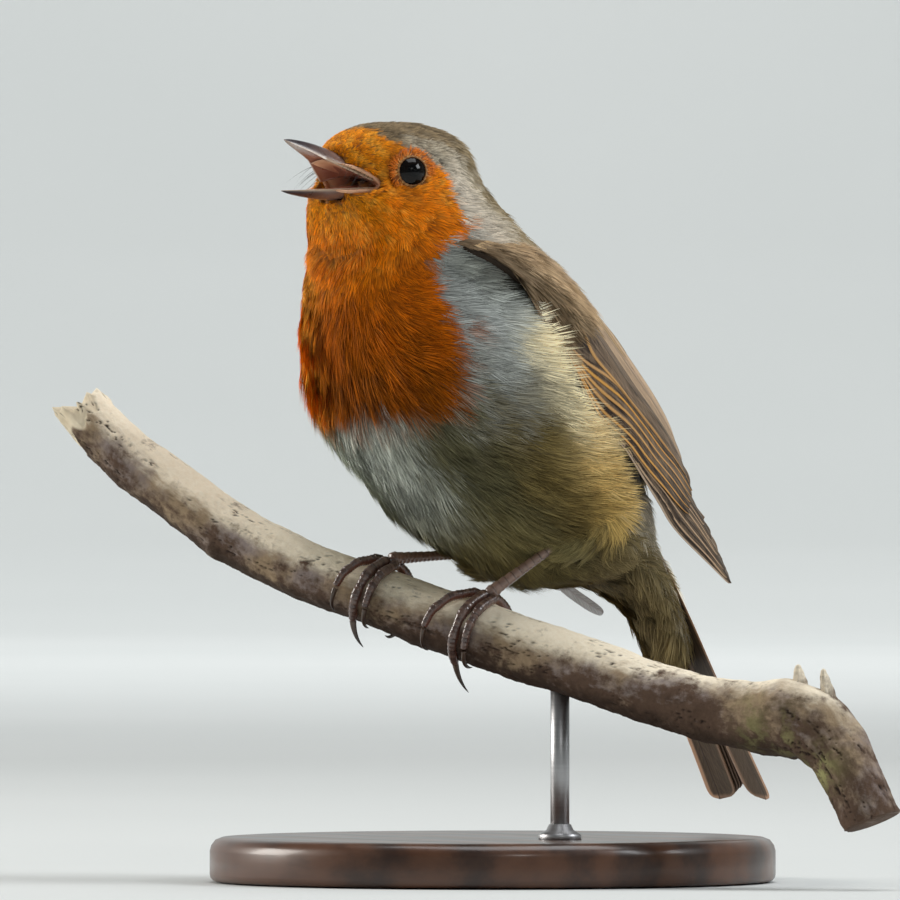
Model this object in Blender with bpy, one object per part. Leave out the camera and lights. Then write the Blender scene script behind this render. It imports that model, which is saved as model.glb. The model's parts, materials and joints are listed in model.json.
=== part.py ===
import math

import bmesh
import bpy
from mathutils import Matrix, Vector

# European robin, a life-size still model on a cut perch with a plain display stand.
# Lengths are millimetres in the bird's own frame: it faces -Y, its left side is +X, +Z is up.
# At the end everything moves so that the origin is the centre of the stand's underside.

# ---------------------------------------------------------------- driving sizes (mm, degrees)
GAP = 0.3                      # clear space between neighbouring pieces
HEAD_YAW = 10.0                # the head turns a little more to its left than the body
NECK_PIVOT = (0.0, -6.0)       # the upright axis that the head turns about
EYE_CENTRE = (7.9, -15.2, 43.8)
EYE_FACING = (0.91, -0.41, 0.06)   # where the left eye looks, before the head turns
EYE_OPENING = 2.25             # radius of the eye between its lids
EYE_RADIUS = 3.2
GAPE = (-19.5, 41.5)           # corner of the mouth, (y, z) before the head turns
UPPER_TIP = (-34.0, 49.2)
LOWER_TIP = (-34.8, 40.7)
BILL_REACH = 14.6              # how far the horn runs back from each tip, under the feathers
TAIL_ROOT = (37.4, -20.4)      # (y, z) where the tail starts, among its coverts
TAIL_PITCH = 63.0              # below the horizontal
TAIL_LENGTH = 40.0             # from there to the lobes' tips
TAIL_THICK = 1.9
WING_THICK = 2.1
WING_BULGE = 1.5
WING_SPLIT = 0.46              # coverts before it, flight feathers after it
TARSUS = 25.5
TARSUS_RADIUS = 0.85
THIGH = (6.4, 4.0, 3.6)        # half sizes of the feathered thigh, along the leg first
THIGH_AT = 0.74                # its middle, as a share of the shank
THIGH_DROP = 1.6
CLAW_LENGTH = 5.2
CLAW_STEPS = 5
CLAW_DROP = Vector((0.18, 0.1, -1.3))   # pull that bends a middle claw down off the perch
CLAW_START = 12.0              # gap between toe and claw, degrees round the perch
CLAW_SWEEP = 48.0              # how far round the perch a claw reaches, degrees
TOE_STEPS = 9
BARK_SWELL = 1.06              # the bark's ridges stand this much over the perch's radius
BASE_CENTRE = (0.0, 8.0)
BASE_RADIUS = 45.0
BASE_THICK = 7.0
BASE_TOP = -61.5
ROD_RADIUS = 1.5
ROD_AT = (20.9, 7.4)

# Trunk stations from the bill to the tail: back (y, z), belly (y, z), half width, fullness below.
BODY = [
    ((-24.3, 47.0), (-25.3, 41.0), 3.6, 2.2),
    ((-22.0, 49.2), (-24.8, 38.3), 6.2, 2.2),
    ((-18.0, 50.9), (-24.4, 35.5), 8.6, 2.2),
    ((-13.0, 51.8), (-24.3, 33.0), 10.2, 2.2),
    ((-7.5, 51.8), (-24.4, 30.5), 11.3, 2.2),
    ((-2.5, 50.5), (-24.6, 28.0), 12.4, 2.2),
    ((2.1, 46.5), (-24.8, 25.0), 14.0, 2.2),
    ((6.7, 40.9), (-24.9, 21.5), 16.2, 2.2),
    ((11.8, 34.6), (-24.5, 15.5), 19.5, 2.2),
    ((18.0, 27.4), (-22.5, 7.8), 22.7, 2.2),
    ((23.8, 20.3), (-15.8, -3.6), 24.4, 2.1),
    ((28.5, 11.5), (-7.4, -13.2), 23.6, 2.0),
    ((31.2, 2.7), (2.6, -18.8), 20.0, 1.9),
    ((33.0, -5.0), (13.5, -21.8), 15.4, 1.85),
    ((36.0, -12.0), (24.5, -21.4), 10.8, 2.0),
    ((40.5, -19.5), (34.0, -26.5), 7.8, 2.0),
    ((43.8, -27.5), (38.0, -33.5), 6.2, 2.0),
]
HEAD_END = 5.3                 # body stations where head, neck, trunk and rump meet
NECK_END = 8.2
TRUNK_END = 13.2
RING = 28                      # points round the body

# Folded left wing from shoulder to tip: lower edge, upper edge, each (x, y, z).
WING = [
    ((15.5, -8.7, 33.0), (11.0, 4.6, 34.6)),
    ((19.5, -3.5, 30.3), (8.6, 10.5, 32.0)),
    ((21.5, 7.1, 22.2), (7.0, 17.2, 26.6)),
    ((23.1, 12.8, 13.7), (6.5, 26.2, 16.2)),
    ((23.2, 19.6, 0.9), (8.0, 33.4, 5.5)),
    ((18.2, 30.2, -10.5), (10.0, 38.2, -6.0)),
    ((14.2, 43.4, -20.4), (13.4, 43.9, -20.2)),
]

# Tail outline, as shares of its length and half widths in mm; the tips stand out past the notch.
TAIL = [(0.0, 3.8), (0.2, 5.2), (0.42, 6.3), (0.62, 7.3), (0.8, 8.2), (0.91, 8.6), (0.96, 8.7)]
TAIL_LOBE = 6.1
TAIL_NOTCH = 2.6

# Perch: centre line from the broken end to the cut end, with its radius.
PERCH = [
    ((-58.9, -33.3, 6.9), 4.41),
    ((-53.5, -30.5, 1.4), 4.45),
    ((-47.1, -27.3, -3.8), 4.50),
    ((-34.5, -20.8, -12.5), 4.63),
    ((-22.0, -14.5, -18.8), 4.77),
    ((-7.9, -7.3, -23.9), 4.86),
    ((6.1, -0.1, -28.5), 4.94),
    ((20.9, 7.4, -33.3), 4.97),
    ((33.9, 14.1, -37.6), 5.06),
    ((43.6, 19.0, -40.2), 5.09),
    ((50.9, 22.7, -41.7), 5.23),
    ((57.3, 26.0, -42.0), 6.02),
    ((61.5, 28.1, -42.9), 5.91),
    ((64.8, 29.9, -45.8), 5.12),
    ((67.2, 31.1, -49.3), 4.72),
    ((70.3, 32.6, -55.7), 4.67),
    ((71.2, 33.1, -58.0), 4.67),
]
STUBS = [
    ((59.6, 27.2, -39.6), (0.0, 0.0, 1.0), 6.6, 1.0),
    ((64.4, 29.8, -42.0), (-0.12, -0.06, 1.0), 8.6, 0.95),
]

# Feet: ball of the foot, leaning of the tarsus, and for each toe where it ends.
# A toe is (name, start along the perch, end along it, start and end of its turn round it, thickness).
LEFT_FOOT = (9.0, 1.3, -23.0)
LEFT_TARSUS = (4.2, 10.7, 8.3)
RIGHT_FOOT = (-7.2, -6.9, -17.3)
RIGHT_TARSUS = (-0.05, 0.99, 0.05)
LEFT_TOES = [
    ("inner", -1.9, -6.6, 8.0, 98.0, 0.72),
    ("middle", 0.0, -0.9, 10.0, 150.0, 0.82),
    ("outer", 1.9, 1.4, 8.0, 112.0, 0.74),
    ("hind", 0.2, 2.4, -12.0, -118.0, 0.84),
]
RIGHT_TOES = [
    ("inner", -1.9, -4.8, 8.0, 84.0, 0.72),
    ("middle", 0.0, -0.9, 10.0, 130.0, 0.82),
    ("outer", 1.9, 1.3, 8.0, 100.0, 0.74),
    ("hind", 0.4, 2.6, -12.0, -128.0, 0.84),
]


# ---------------------------------------------------------------- small tools

def clear_scene():
    for item in list(bpy.data.objects):
        bpy.data.objects.remove(item, do_unlink=True)


def material(name, colour, roughness, metallic=0.0):
    made = bpy.data.materials.new(name)
    made.use_nodes = True
    shader = made.node_tree.nodes["Principled BSDF"]
    shader.inputs["Base Color"].default_value = (*colour, 1.0)
    shader.inputs["Roughness"].default_value = roughness
    shader.inputs["Metallic"].default_value = metallic
    return made


def catmull(values, t):
    """Value at station t of a list of numbers or vectors, smooth through every station."""
    last = len(values) - 1
    i = max(0, min(int(math.floor(t)), last - 1))
    f = t - i
    a = values[max(i - 1, 0)]
    b = values[i]
    c = values[i + 1]
    d = values[min(i + 2, last)]
    return ((b * 2.0) + (c - a) * f + (a * 2.0 - b * 5.0 + c * 4.0 - d) * (f * f)
            + (b * 3.0 - a - c * 3.0 + d) * (f * f * f)) * 0.5


def spaced(first, last, count):
    return [first + (last - first) * i / (count - 1) for i in range(count)]


def power(value, exponent):
    return math.copysign(abs(value) ** exponent, value)


def smooth_step(x):
    x = max(0.0, min(1.0, x))
    return x * x * (3.0 - 2.0 * x)


def solid(name, rings, finish=None, smooth=True):
    """Closed skin over rings of equal size, with a fan over each end."""
    mesh = bpy.data.meshes.new(name)
    bm = bmesh.new()
    rows = [[bm.verts.new(p) for p in ring] for ring in rings]
    for low, high in zip(rows, rows[1:]):
        for i in range(len(low)):
            j = (i + 1) % len(low)
            bm.faces.new((low[i], low[j], high[j], high[i]))
    for row, flip in ((rows[0], True), (rows[-1], False)):
        middle = bm.verts.new(sum((v.co for v in row), Vector()) / len(row))
        for i in range(len(row)):
            j = (i + 1) % len(row)
            bm.faces.new((row[j], row[i], middle) if flip else (row[i], row[j], middle))
    bmesh.ops.recalc_face_normals(bm, faces=bm.faces)
    bm.to_mesh(mesh)
    bm.free()
    if smooth:
        mesh.shade_smooth()
    item = bpy.data.objects.new(name, mesh)
    bpy.context.collection.objects.link(item)
    if finish:
        mesh.materials.append(finish)
    return item


def tube(name, points, radii, sides, finish=None, squash=1.0, up=Vector((0.0, 0.0, 1.0))):
    """Round bar along points; the last radius may be nearly nothing."""
    rings = []
    for i, point in enumerate(points):
        ahead = points[min(i + 1, len(points) - 1)]
        behind = points[max(i - 1, 0)]
        along = (ahead - behind).normalized()
        side = along.cross(up).normalized()
        top = side.cross(along)
        ring = []
        for k in range(sides):
            a = 2.0 * math.pi * k / sides
            ring.append(point + side * math.cos(a) * radii[i] + top * math.sin(a) * radii[i] * squash)
        rings.append(ring)
    return solid(name, rings, finish)


def ellipsoid(name, centre, axes, radii, finish=None, sides=14, rows=9):
    """Closed ball stretched along three axes, the first one from pole to pole."""
    along, side, top = axes
    rings = []
    for r in range(1, rows):
        angle = math.pi * r / rows
        width = math.sin(angle)
        ring = []
        for k in range(sides):
            a = 2.0 * math.pi * k / sides
            ring.append(centre + along * (-math.cos(angle) * radii[0])
                        + side * (math.cos(a) * width * radii[1])
                        + top * (math.sin(a) * width * radii[2]))
        rings.append(ring)
    item = solid(name, rings, finish)
    poles = (centre - along * radii[0], centre + along * radii[0])
    for vert, pole in zip(item.data.vertices[-2:], poles):
        vert.co = pole
    return item


def frame_along(direction, up=Vector((0.0, 0.0, 1.0))):
    along = direction.normalized()
    side = along.cross(up).normalized()
    return along, side, side.cross(along)


def cut(item, *cutters):
    """Take the cutters' shapes out of an object, and keep only what is left."""
    for cutter in cutters:
        step = item.modifiers.new("cut", "BOOLEAN")
        step.operation = "DIFFERENCE"
        step.solver = "EXACT"
        step.object = cutter
        apply_modifiers(item)


def join(item, *others):
    for other in others:
        step = item.modifiers.new("join", "BOOLEAN")
        step.operation = "UNION"
        step.solver = "EXACT"
        step.object = other
    apply_modifiers(item)


def apply_modifiers(item):
    graph = bpy.context.evaluated_depsgraph_get()
    mesh = bpy.data.meshes.new_from_object(item.evaluated_get(graph))
    old = item.data
    item.modifiers.clear()
    item.data = mesh
    mesh.name = old.name
    bpy.data.meshes.remove(old)
    keep_largest(item)


def keep_largest(item):
    """Drop the crumbs that a cut can leave beside the main piece."""
    bm = bmesh.new()
    bm.from_mesh(item.data)
    bmesh.ops.remove_doubles(bm, verts=bm.verts, dist=0.0001)
    unseen = set(bm.verts)
    groups = []
    while unseen:
        stack = [unseen.pop()]
        group = set(stack)
        while stack:
            vert = stack.pop()
            for edge in vert.link_edges:
                other = edge.other_vert(vert)
                if other in unseen:
                    unseen.discard(other)
                    group.add(other)
                    stack.append(other)
        groups.append(group)
    groups.sort(key=len)
    for group in groups[:-1]:
        bmesh.ops.delete(bm, geom=list(group), context="VERTS")
    bm.to_mesh(item.data)
    bm.free()


def discard(*items):
    for item in items:
        bpy.data.objects.remove(item, do_unlink=True)


def mirrored(item, name):
    """The same piece on the bird's other side."""
    copy = item.copy()
    copy.data = item.data.copy()
    copy.name = name
    copy.data.name = name
    copy.data.transform(Matrix.Scale(-1.0, 4, (1.0, 0.0, 0.0)))
    copy.data.flip_normals()
    bpy.context.collection.objects.link(copy)
    return copy


# ---------------------------------------------------------------- the body's shape

def turn_head(point, weight=1.0):
    pivot = Vector((NECK_PIVOT[0], NECK_PIVOT[1], 0.0))
    return Matrix.Rotation(math.radians(HEAD_YAW * weight), 3, "Z") @ (point - pivot) + pivot


def head_share(t):
    return 1.0 - smooth_step((t - 4.0) / 4.0)


BACKS = [Vector((0.0, *row[0])) for row in BODY]
BELLIES = [Vector((0.0, *row[1])) for row in BODY]
WIDTHS = [row[2] for row in BODY]
FULLNESS = [row[3] for row in BODY]


def body_ring(t, grow=0.0, slide=0.0):
    """Ring of the body's outline at station t, grown outwards and slid along the body."""
    back = catmull(BACKS, t)
    belly = catmull(BELLIES, t)
    centre = (back + belly) * 0.5
    up = (back - belly).normalized()
    along = up.cross(Vector((1.0, 0.0, 0.0)))
    height = (back - belly).length * 0.5 + grow
    width = catmull(WIDTHS, t) + grow
    fullness = catmull(FULLNESS, t)
    ring = []
    for k in range(RING):
        a = 2.0 * math.pi * k / RING
        shape = 2.2 if math.sin(a) > 0.0 else fullness
        side = power(math.cos(a), 2.0 / shape) * width
        rise = power(math.sin(a), 2.0 / shape) * height
        point = centre + up * rise + Vector((side, 0.0, 0.0)) + along * slide
        ring.append(turn_head(point, head_share(t)))
    return ring


def body_piece(name, first, last, count, finish=None, grow=0.0, trim=(0.0, 0.0)):
    stations = spaced(first, last, count)
    rings = [body_ring(t, grow) for t in stations]
    rings[0] = body_ring(first, grow, trim[0])
    rings[-1] = body_ring(last, grow, trim[1])
    return solid(name, rings, finish)


def toward_tail(t):
    """+1 where a slide along the ring's normal runs toward the tail, otherwise -1."""
    ahead = catmull(BACKS, t + 0.05) + catmull(BELLIES, t + 0.05)
    here = catmull(BACKS, t) + catmull(BELLIES, t)
    up = catmull(BACKS, t) - catmull(BELLIES, t)
    return 1.0 if (ahead - here).dot(up.cross(Vector((1.0, 0.0, 0.0)))) > 0.0 else -1.0


def make_body(olive, orange, buff):
    half = GAP * 0.5
    at_neck = toward_tail(HEAD_END) * half
    at_trunk = toward_tail(NECK_END) * half
    at_rump = toward_tail(TRUNK_END) * half
    head = body_piece("head", 0.0, HEAD_END, 15, orange, trim=(0.0, -at_neck))
    neck = body_piece("neck", HEAD_END, NECK_END, 8, orange, trim=(at_neck, -at_trunk))
    trunk = body_piece("trunk", NECK_END, TRUNK_END, 13, buff, trim=(at_trunk, -at_rump))
    rump = body_piece("rump", TRUNK_END, len(BODY) - 1.0, 9, olive, trim=(at_rump, 0.0))
    return head, neck, trunk, rump


def body_cutter(grow):
    return body_piece("body_cutter", 3.0, len(BODY) - 1.0, 40, grow=grow)


# ---------------------------------------------------------------- bill and eyes

def bill_half(name, tip, upper, finish=None, grow=0.0):
    """One horn half of the bill, arched on its outside and flat where the halves would meet."""
    back = Vector((0.0, *GAPE))
    front = Vector((0.0, *tip))
    along = (back - front).normalized()
    out = along.cross(Vector((1.0, 0.0, 0.0)))
    if (out.z > 0.0) != upper:
        out = -out
    depth = 2.9 if upper else 2.05
    droop = 0.5 if upper else 0.12
    rings = []
    for d in [0.0, 0.5, 1.3, 2.6, 4.4, 6.6, 9.0, 11.6, BILL_REACH]:
        share = d / 10.0
        tall = max(depth * min(share, 1.0) ** 0.58 + max(share - 1.0, 0.0) * 0.6, 0.28) + grow
        wide = max((2.7 if upper else 2.5) * share ** 0.72 + max(share - 1.05, 0.0) * 3.0, 0.24) + grow
        sink = out * (-droop * (1.0 - smooth_step(share)) ** 2)
        if d == BILL_REACH:
            d += grow
        if d == 0.0:
            d -= grow
        centre = front + along * d + sink
        ring = []
        for k in range(14):
            a = 2.0 * math.pi * k / 14.0
            rise = math.sin(a)
            lift = tall * rise ** 0.9 if rise > 0.0 else rise * (0.1 + grow)
            ring.append(turn_head(centre + out * lift + Vector((math.cos(a) * wide, 0.0, 0.0))))
        rings.append(ring)
    return solid(name, rings, finish)


def mouth_cutter():
    """Wedge between the open halves of the bill; its corners on the cheeks lie further forward."""
    rings = []
    for x, set_back in ((-12.0, -2.4), (-6.0, -0.5), (0.0, 2.2), (6.0, -0.5), (12.0, -2.4)):
        corner = Vector((x, GAPE[0] + set_back, GAPE[1]))
        rise = (Vector((x, *UPPER_TIP)) - Vector((x, *GAPE))).normalized()
        fall = (Vector((x, *LOWER_TIP)) - Vector((x, *GAPE))).normalized()
        loop = [corner + rise * 14.0, corner + rise * 1.2, corner + Vector((0.0, 0.35, 0.0)),
                corner + fall * 1.2, corner + fall * 14.0]
        rings.append([turn_head(point) for point in loop])
    return solid("mouth_cutter", rings, smooth=False)


def eye_opening(side):
    """Flared opening between the lids of one eye."""
    facing = Vector((EYE_FACING[0] * side, EYE_FACING[1], EYE_FACING[2])).normalized()
    middle = Vector((EYE_CENTRE[0] * side, EYE_CENTRE[1], EYE_CENTRE[2]))
    points = [turn_head(middle + facing * reach) for reach in (1.4, 2.2, 3.2, 6.0)]
    flare = (0.0, 0.0, 0.35, 2.4)
    return tube("eye_opening", points, [EYE_OPENING + f for f in flare], 15)


def eye_at(side):
    return turn_head(Vector((EYE_CENTRE[0] * side, EYE_CENTRE[1], EYE_CENTRE[2])))


def make_head_parts(head, horn, dark_eye):
    upper = bill_half("bill_upper", UPPER_TIP, True, horn)
    lower = bill_half("bill_lower", LOWER_TIP, False, horn)
    axes = (Vector((1.0, 0.0, 0.0)), Vector((0.0, 1.0, 0.0)), Vector((0.0, 0.0, 1.0)))
    cutters = [bill_half("upper_cutter", UPPER_TIP, True, grow=GAP),
               bill_half("lower_cutter", LOWER_TIP, False, grow=GAP),
               mouth_cutter()]
    for name, side in (("eye_left", 1.0), ("eye_right", -1.0)):
        ellipsoid(name, eye_at(side), axes, (EYE_RADIUS,) * 3, dark_eye, 12, 9)
        cutters.append(eye_opening(side))
        cutters.append(ellipsoid("eye_cutter", eye_at(side), axes, (EYE_RADIUS + GAP,) * 3, None, 14, 9))
    cut(head, *cutters)
    discard(*cutters)
    return upper, lower


# ---------------------------------------------------------------- wings and tail

def wing_ring(s):
    """Section across the folded left wing at share s of its length."""
    lows = [Vector(row[0]) for row in WING]
    highs = [Vector(row[1]) for row in WING]
    last = len(WING) - 1.0
    low = catmull(lows, s * last)
    high = catmull(highs, s * last)
    step = 0.02 if s < 0.97 else -0.02
    run = (catmull(lows, (s + step) * last) + catmull(highs, (s + step) * last) - low - high)
    run = run if step > 0.0 else -run
    across = high - low
    out = across.cross(run).normalized()
    if out.x < 0.0:
        out = -out
    fade = 1.0 - smooth_step((s - 0.62) / 0.38)
    thick = WING_THICK * (0.36 + 0.64 * fade)
    ring = []
    count = 8
    for k in range(count):
        v = k / (count - 1.0)
        arch = 4.0 * v * (1.0 - v)
        edge = min(1.0, arch * 2.5)
        ring.append(low + across * v + out * (WING_BULGE * arch * fade + thick * 0.5 * edge + 0.12))
    for k in range(count - 1, -1, -1):
        v = k / (count - 1.0)
        arch = 4.0 * v * (1.0 - v)
        deep = thick * (0.5 + 1.1 * fade)
        ring.append(low + across * v + out * (WING_BULGE * arch * fade - deep))
    return ring


def make_wings(brown, dark_brown):
    share = GAP * 0.75 / 74.0
    body = body_cutter(GAP)
    for name, first, last, count, finish in (("coverts", 0.0, WING_SPLIT - share, 8, brown),
                                              ("flight", WING_SPLIT + share, 1.0, 10, dark_brown)):
        rings = [wing_ring(s) for s in spaced(first, last, count)]
        wing = solid("wing_left_" + name, rings, finish)
        cut(wing, body)
        mirrored(wing, "wing_right_" + name)
    discard(body)


def tail_blade(name, finish=None, grow=0.0):
    """Flat closed tail with a shallow notch, square to its own slope."""
    slope = math.radians(TAIL_PITCH)
    down = Vector((0.0, math.cos(slope), -math.sin(slope)))
    face = Vector((0.0, math.sin(slope), math.cos(slope)))
    root = Vector((0.0, *TAIL_ROOT))
    columns = 11
    shares = [2.0 * k / (columns - 1.0) - 1.0 for k in range(columns)]
    rows = [[(along * TAIL_LENGTH, half * share) for share in shares] for along, half in TAIL]
    half = TAIL[-1][1]
    tips = []
    for share in shares:
        x = abs(half * share)
        if x < TAIL_LOBE:
            drop = TAIL_NOTCH * (TAIL_LOBE - x) / TAIL_LOBE
        else:
            drop = 1.2 * ((x - TAIL_LOBE) / (half - TAIL_LOBE)) ** 2
        tips.append((TAIL_LENGTH - drop, half * share * 0.98))
    rows.append(tips)
    rings = []
    for number, row in enumerate(rows):
        top = []
        bottom = []
        for along, x in row:
            along -= grow if number == 0 else 0.0
            crown = 0.9 * (1.0 - (x / 10.0) ** 2)
            edge = TAIL_THICK * 0.5 * (1.0 - 0.45 * abs(x / 10.0)) + grow
            x += math.copysign(grow, x) if abs(x) > 0.1 else 0.0
            middle = root + down * along + Vector((x, 0.0, 0.0)) + face * crown
            top.append(middle + face * edge)
            bottom.append(middle - face * edge)
        rings.append(top + bottom[::-1])
    return strip_solid(name, rings, columns, finish)


def make_tail(rump, dark_brown):
    tail = tail_blade("tail", dark_brown)
    socket = tail_blade("tail_socket", grow=GAP)
    cut(rump, socket)
    discard(socket)
    return tail


def strip_solid(name, rings, columns, finish):
    """Closed flat piece whose rings are a top row and the same row back along the bottom."""
    item = solid(name, rings, finish)
    bm = bmesh.new()
    bm.from_mesh(item.data)
    bm.verts.ensure_lookup_table()
    size = 2 * columns
    total = size * len(rings)
    bmesh.ops.delete(bm, geom=[bm.verts[total], bm.verts[total + 1]], context="VERTS")
    bm.verts.ensure_lookup_table()
    for start in (0, total - size):
        for k in range(columns - 1):
            a, b = start + k, start + k + 1
            c, d = start + size - 2 - k, start + size - 1 - k
            bm.faces.new((bm.verts[a], bm.verts[b], bm.verts[c], bm.verts[d]))
    bmesh.ops.recalc_face_normals(bm, faces=bm.faces)
    bm.to_mesh(item.data)
    bm.free()
    return item


# ---------------------------------------------------------------- perch and stand

PERCH_LINE = [Vector(row[0]) for row in PERCH]
PERCH_RADII = [row[1] for row in PERCH]


def perch_station(point):
    """The station of the perch's centre line nearest to a point."""
    steps = range((len(PERCH) - 1) * 100)
    return min(steps, key=lambda i: (catmull(PERCH_LINE, i / 100.0) - point).length) / 100.0


def perch_frame(t):
    """Centre, direction toward the cut end, forward and up, and radius of the perch at a station."""
    centre = catmull(PERCH_LINE, t)
    along = (catmull(PERCH_LINE, t + 0.05) - catmull(PERCH_LINE, t - 0.05)).normalized()
    forward = along.cross(Vector((0.0, 0.0, 1.0))).normalized()
    return centre, along, forward, forward.cross(along), catmull(PERCH_RADII, t)


def bark(angle, t):
    """Slow swell and dents of the bark, as a share of the radius."""
    return (0.03 * math.sin(2.0 * angle + 1.7 * t) + 0.025 * math.sin(3.0 * angle - 2.3 * t + 1.0)
            + 0.02 * math.sin(5.1 * t + angle))


def make_perch(wood):
    rings = []
    last = len(PERCH) - 1.0
    for t in spaced(0.0, last, 36):
        centre, along, forward, up, radius = perch_frame(min(max(t, 0.06), last - 0.06))
        centre = catmull(PERCH_LINE, t)
        ring = []
        for k in range(16):
            a = 2.0 * math.pi * k / 16.0
            reach = radius * (1.0 + bark(a, t))
            slant = 0.0
            if t < 0.01:
                slant = 1.7 * math.sin(a) + 0.8 * math.sin(3.0 * a + 0.6)
            ring.append(centre + forward * math.cos(a) * reach + up * math.sin(a) * reach + along * slant)
        rings.append(ring)
    perch = solid("perch", rings, wood)
    stubs = []
    for foot, way, length, radius in STUBS:
        way = Vector(way).normalized()
        points = [Vector(foot) + way * length * f for f in (0.0, 0.45, 0.8, 1.0)]
        stubs.append(tube("stub", points, [radius * 1.25, radius, radius * 0.72, radius * 0.4], 9,
                          up=Vector((0.0, 1.0, 0.0))))
    join(perch, *stubs)
    discard(*stubs)
    return perch


def disc(name, centre, profile, sides, finish=None):
    """Turned piece: profile is (radius, height) from the bottom up."""
    rings = []
    for radius, height in profile:
        rings.append([Vector((centre[0] + radius * math.cos(2.0 * math.pi * k / sides),
                              centre[1] + radius * math.sin(2.0 * math.pi * k / sides), height))
                      for k in range(sides)])
    return solid(name, rings, finish, smooth=False)


def make_stand(perch, stained, steel):
    bottom = BASE_TOP - BASE_THICK
    profile = [(BASE_RADIUS - 0.8, bottom), (BASE_RADIUS, bottom + 0.8), (BASE_RADIUS, BASE_TOP - 1.2),
               (BASE_RADIUS - 1.2, BASE_TOP)]
    base = disc("stand_base", BASE_CENTRE, profile, 48, stained)
    t = perch_station(Vector((ROD_AT[0], ROD_AT[1], -33.5)))
    centre = perch_frame(t)[0]
    top = centre.z - 1.2
    foot = BASE_TOP - 4.5
    disc("stand_rod", ROD_AT, [(ROD_RADIUS, foot), (ROD_RADIUS, top)], 20, steel)
    hole = ROD_RADIUS + GAP
    socket = disc("socket", ROD_AT, [(hole, foot - GAP), (hole, BASE_TOP + 2.0)], 20)
    cut(base, socket)
    bore = disc("bore", ROD_AT, [(hole, top - 12.0), (hole, top + GAP)], 20)
    cut(perch, bore)
    discard(socket, bore)


# ---------------------------------------------------------------- legs and feet

def round_perch(t, axial, angle, clearance):
    """Point beside the perch: axial mm along it from station t, turned forward from its top."""
    _, _, forward, up, radius = perch_frame(t)
    a = math.radians(angle)
    swell = radius * BARK_SWELL + clearance
    step = (catmull(PERCH_LINE, t + 0.05) - catmull(PERCH_LINE, t - 0.05)).length * 10.0
    here = catmull(PERCH_LINE, t + axial / step)
    return here + forward * math.sin(a) * swell + up * math.cos(a) * swell


def make_toe(side, t, toe, size, ball_cutter, skin, horn):
    """A toe that bends round the perch with swollen joints, and the claw at its end."""
    name, start, end, turn_from, turn_to, thick = toe
    points = []
    radii = []
    for i in range(TOE_STEPS):
        f = i / (TOE_STEPS - 1.0)
        ease = 1.0 - (1.0 - f) ** 1.6
        joint = 0.1 * math.cos(f * math.pi * 6.0)
        radius = thick * (1.0 - 0.18 * f) * (1.0 + joint)
        points.append(round_perch(t, start + (end - start) * ease,
                                  turn_from + (turn_to - turn_from) * f, radius + GAP * 0.5))
        radii.append(radius)
    radii[0] *= 0.8
    radii[-1] *= 0.75
    bar = tube("toe_" + side + "_" + name, points, radii, 8, skin)
    cut(bar, ball_cutter)
    way = (points[-1] - points[-2]).normalized()
    shape = [max(0.5 * (1.0 - f) ** 0.8, 0.09) for f in (0.0, 0.2, 0.4, 0.6, 0.8, 1.0)]
    claw = [points[-1] + way * (GAP + 0.05)]
    if name == "middle":
        for i in range(1, CLAW_STEPS + 1):
            lean = (way * (1.0 - 0.12 * i) + CLAW_DROP).normalized()
            claw.append(claw[-1] + lean * (CLAW_LENGTH * size / CLAW_STEPS))
    else:
        turn = math.copysign(1.0, turn_to)
        first = turn_to + turn * CLAW_START
        claw = []
        for i in range(CLAW_STEPS + 1):
            f = i / CLAW_STEPS
            claw.append(round_perch(t, end, first + turn * f * CLAW_SWEEP * size,
                                    0.62 + 0.5 * math.sin(math.pi * f) - 0.35 * f))
    tube("claw_" + side + "_" + name, claw, shape, 6, horn)


def make_leg(side, foot, lean, toes, body, size, skin, horn, feather):
    """Feathered thigh, bare shank with its ball at the foot, toes and claws on one side."""
    ball = Vector(foot)
    way = Vector(lean).normalized()
    axes = frame_along(way)
    points = [ball + way * TARSUS * f for f in (0.0, 0.05, 0.1, 0.3, 0.5, 0.7, 0.9, 1.0)]
    radii = [TARSUS_RADIUS * f for f in (1.25, 1.3, 1.05, 0.92, 0.9, 0.95, 1.1, 0.9)]
    shank = tube("shank_" + side, points, radii, 10, skin)
    ball_cutter = tube("ball_cutter", points, [r + GAP for r in radii], 10)
    thigh_middle = ball + way * (TARSUS * THIGH_AT) + Vector((0.0, 0.0, -THIGH_DROP))
    thigh = ellipsoid("thigh_" + side, thigh_middle, axes, THIGH, feather, 14, 9)
    cut(thigh, body)
    shell = ellipsoid("thigh_cutter", thigh_middle, axes, [r + GAP for r in THIGH], None, 14, 9)
    cut(shank, body, shell)
    t = perch_station(ball)
    for toe in toes:
        make_toe(side, t, toe, size, ball_cutter, skin, horn)
    discard(shell, ball_cutter)


# ---------------------------------------------------------------- the whole part

def settle():
    """Move everything into the stand's frame, in metres."""
    place = Matrix.Scale(0.001, 4) @ Matrix.Translation(
        Vector((-BASE_CENTRE[0], -BASE_CENTRE[1], BASE_THICK - BASE_TOP)))
    for item in bpy.data.objects:
        item.data.transform(place)


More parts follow.
